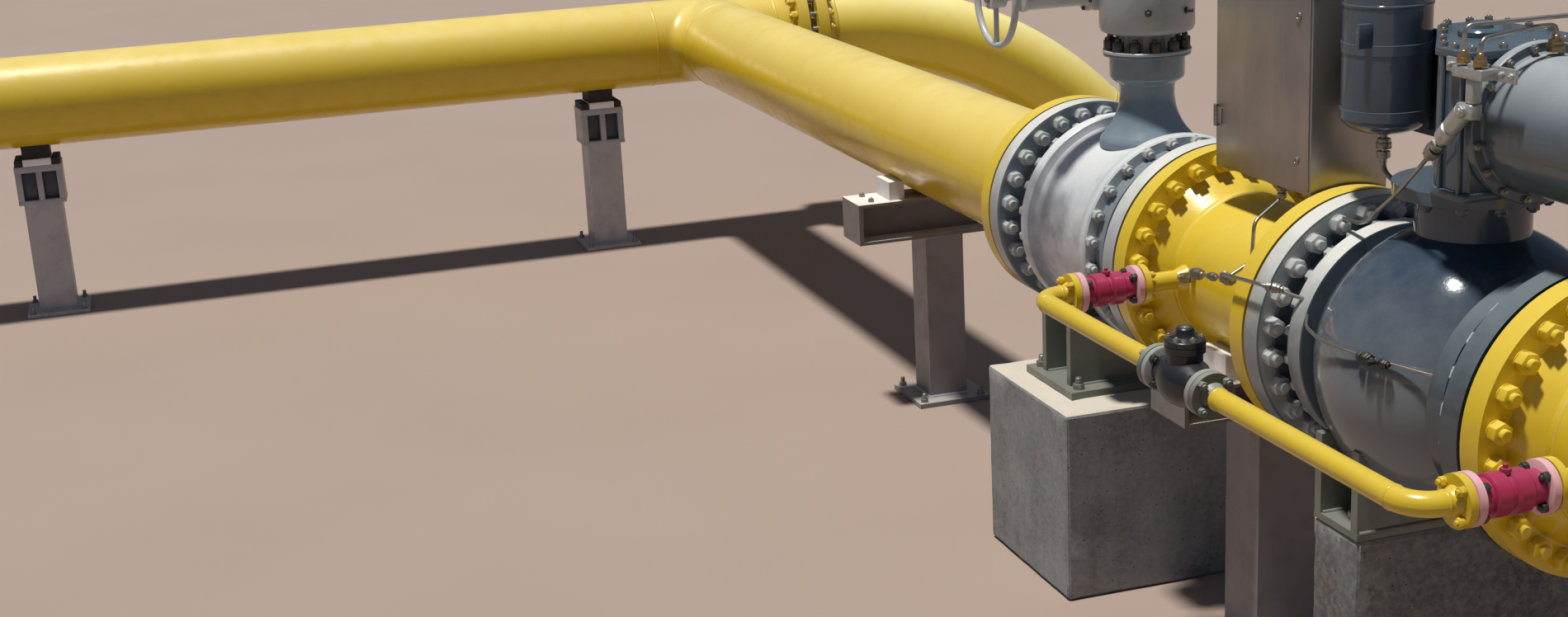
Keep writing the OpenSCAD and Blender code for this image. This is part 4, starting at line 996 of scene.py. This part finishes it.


# Post heads: a welded box of flat plates, open to the front and back in two cells, sprayed pale like the post with a
# dark web inside, which paints the shade in the cells. A white-painted carrier plate lies on top between two black
# rubber blocks, which also stand for the shade under the pipe, and the plate holds the pad under the pipe.
head_low = 0.640
head_high = 0.860
head_half = 0.109
frames = []
webs = []
carriers = []
blocks = []
for x in header_post_xs:
    for low_x, high_x, half, low, high in (
            (-0.128, 0.128, 0.110, head_low, head_low + 0.024),
            (-0.128, 0.128, 0.110, head_high - 0.036, head_high),
            (-0.127, -0.094, head_half, head_low + 0.022, head_high - 0.034),
            (-0.016, 0.016, head_half, head_low + 0.022, head_high - 0.034),
            (0.094, 0.127, head_half, head_low + 0.022, head_high - 0.034)):
        frames.append(block((x + low_x, header_y - half, low), (x + high_x, header_y + half, high), 0.0025))
    for side in (-1, 1):
        web_x = x + side * 0.055
        webs.append(block(
            (web_x - 0.041, header_y - 0.075, head_low + 0.020), (web_x + 0.041, header_y + 0.075, head_high - 0.032),
            0.002))
        near, far = sorted((side * 0.079, side * 0.122))
        blocks.append(block((x + near, header_y - 0.106, head_high), (x + far, header_y + 0.106, 0.896), 0.005))
    carriers.append(block((x - 0.076, header_y - 0.110, head_high), (x + 0.076, header_y + 0.110, 0.898), 0.003))
head_enamel = enamel("head_grey_enamel", "#ACAEB4", "#CACAC8", "#75726D", 0.36, 0.30, 0.30)
heads = finish(joined(frames), "head_frames", head_enamel)
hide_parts("post_heads")
recess_shade_enamel = enamel("dark_enamel_painted_recess_shade", "#3E434F", "#5C606A", "#22242A", 0.34, 0.24, 0.30)
finish(joined(webs), "head_webs", recess_shade_enamel)
white_enamel = enamel("white_enamel", "#F2F2F4", "#FAFAF8", "#BDB8B0", 0.30, 0.30, 0.22)
finish(joined(carriers), "carrier_plates", white_enamel)
rubber, tree, place = new_material("black_moulded_rubber")
bloom = add_node(tree, "TexNoise", {"Vector": place, "Scale": 30.0, "Detail": 4.0})
grit = add_node(tree, "TexNoise", {"Vector": place, "Scale": 400.0, "Detail": 2.0})
tone = add_node(tree, "MixRGB", bloom, "#15151A", "#34353A")
# Mould grain about 2.5 mm apart, drawn coarser than the real 0.5 mm.
wave = add_node(tree, "Bump", {"Strength": 0.2, "Distance": 0.0005, "Height": grit})
close_material(tree, {"Base Color": tone, "Roughness": 0.7, "Normal": wave})
coat(rubber, "saddle_pads")
finish(joined(blocks), "head_rubber_blocks_in_shade", rubber)


# Valve feet: burned steel plates welded to a base plate, cut to the round of the valve that they carry.
# They are sprayed green-grey and anchored to the concrete; fillet welds run along the plates.
dark_enamel = enamel("green_grey_enamel", "#6E726A", "#9A9A8E", "#38362F", 0.34, 0.24, 0.34)
coat(dark_enamel, "first_foot", "second_foot")
first_base_top = 0.705
second_base_top = 0.800
second_foot_y = -1.790
foot_welds = []
for foot_y, offset, top, half in ((0.0, 0.100, first_base_top, 0.352), (second_foot_y, 0.089, second_base_top, 0.356)):
    for side in (-1, 1):
        for face in (-0.015, 0.015):
            y = foot_y + side * offset + face
            foot_welds.append(rod([(-half, y, top), (half, y, top)], 0.007))
finish(joined(foot_welds), "foot_welds", dark_enamel, angle=60)
foot_anchors = [Matrix.Translation((x, y, first_base_top)) for x in (-0.345, 0.345) for y in (-0.152, 0.152)]
foot_anchors += [Matrix.Translation((x, second_foot_y, second_base_top)) for x in (-0.300, 0.300)]
fasten("foot_anchor_nuts", (0.036, 0.020, 0.024, 0.022), foot_anchors, zinc_plate)


# Concrete piers: cast in plywood shutters, with chamfered edges. The faces are mottled grey with fine air holes
# 3 to 8 mm wide, drawn dark as a painted shade inside them, and old drips; the tops are paler beige, partly dust and
# partly painted sunlight, and the edges a little worn.
def cast_concrete(name, light, dark):
    """Concrete as cast, between two greys, with dark air holes of painted shade, drips, sand and a paler top of dust
    and painted sunlight.
    """
    material, tree, place = new_material(name)
    slow = add_node(tree, "TexNoise", {"Vector": place, "Scale": 3.0, "Detail": 8.0, "Roughness": 0.62})
    fine = add_node(tree, "TexNoise", {"Vector": place, "Scale": 45.0, "Detail": 6.0, "Roughness": 0.7})
    holes = add_node(tree, "TexVoronoi", {"Vector": place, "Scale": 34.0})
    drip_place = add_node(tree, "Mapping", {"Vector": place, "Scale": (14.0, 14.0, 1.3)})
    drips = add_node(tree, "TexNoise", {"Vector": drip_place, "Scale": 1.0, "Detail": 5.0})
    patch = add_node(tree, "MapRange", slow, 0.38, 0.64, 0.0, 1.0)
    base = add_node(tree, "MixRGB", patch, light, dark)
    drip = add_node(tree, "MapRange", drips, 0.50, 0.70, 0.0, 0.42)
    stained = add_node(tree, "MixRGB", drip, base, "#4E4D4A")
    sandy = add_node(tree, "MapRange", fine, 0.40, 0.68, 0.0, 0.36)
    sanded = add_node(tree, "MixRGB", sandy, stained, "#B4AEA2")
    # The air holes are drawn dark, a painted shade inside them.
    hole = add_node(tree, "MapRange", holes, 0.06, 0.13, 1.0, 0.0)
    pitted_and_shaded = add_node(tree, "MixRGB", hole, sanded, "#3C3934")
    facing = add_node(tree, "NewGeometry").outputs["Normal"]
    upward = add_node(tree, "SeparateXYZ", facing).outputs["Z"]
    # The paler top is partly dust and partly painted sunlight.
    lying = add_node(tree, "MapRange", upward, 0.4, 0.9, 0.0, 0.86)
    dusted_and_lit = add_node(tree, "MixRGB", lying, pitted_and_shaded, "#CDC5B6")
    depth = add_node(tree, "Math", hole, -1.2, fine, operation="MULTIPLY_ADD")
    wave = add_node(tree, "Bump", {"Strength": 0.5, "Distance": 0.003, "Height": depth})
    close_material(tree, {"Base Color": dusted_and_lit, "Roughness": 0.88, "Normal": wave})
    return material


def pier(name, low, high, bearing, node, concrete):
    """A cast block: bevelled, cut finely and worn inwards by up to 5 mm, except under the steel that it bears."""
    shape = block(low, high, 0.014, 2)
    editing(shape)
    bpy.ops.mesh.subdivide(number_cuts=14)
    bpy.ops.object.mode_set(mode="OBJECT")
    worn = shape.vertex_groups.new(name="worn")
    under_low, under_high = bearing
    for vertex in shape.data.vertices:
        x, y, z = vertex.co
        held = z > high[2] - 0.001 and under_low[0] < x < under_high[0] and under_low[1] < y < under_high[1]
        foot = z < low[2] + 0.001
        worn.add([vertex.index], 0.0 if held or foot else 1.0, "REPLACE")
    wear = bpy.data.textures.new(name + "_wear", "CLOUDS")
    wear.noise_scale = 0.09
    wear.noise_depth = 4
    push = shape.modifiers.new("wear", "DISPLACE")
    push.texture = wear
    push.texture_coords = "LOCAL"
    push.strength = 0.007
    push.mid_level = 1.0
    push.vertex_group = "worn"
    bpy.ops.object.modifier_apply(modifier="wear")
    shape.vertex_groups.clear()
    finish(shape, name, concrete, angle=50)
    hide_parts(node)


pier("large_pier", (-0.4825, -0.338, 0.0), (0.4825, 0.338, 0.680), ((-0.40, -0.20), (0.40, 0.20)), "first_pier",
     cast_concrete("shuttered_concrete", "#8A8D8F", "#6D7174"))
# The small pier is the same concrete drawn darker, a painted shade.
pier("small_pier", (-0.365, -1.900, 0.0), (0.365, -1.680, 0.780), ((-0.37, -1.91), (0.37, -1.67)), "second_pier",
     cast_concrete("shuttered_concrete_painted_shade", "#6C6F70", "#535659"))
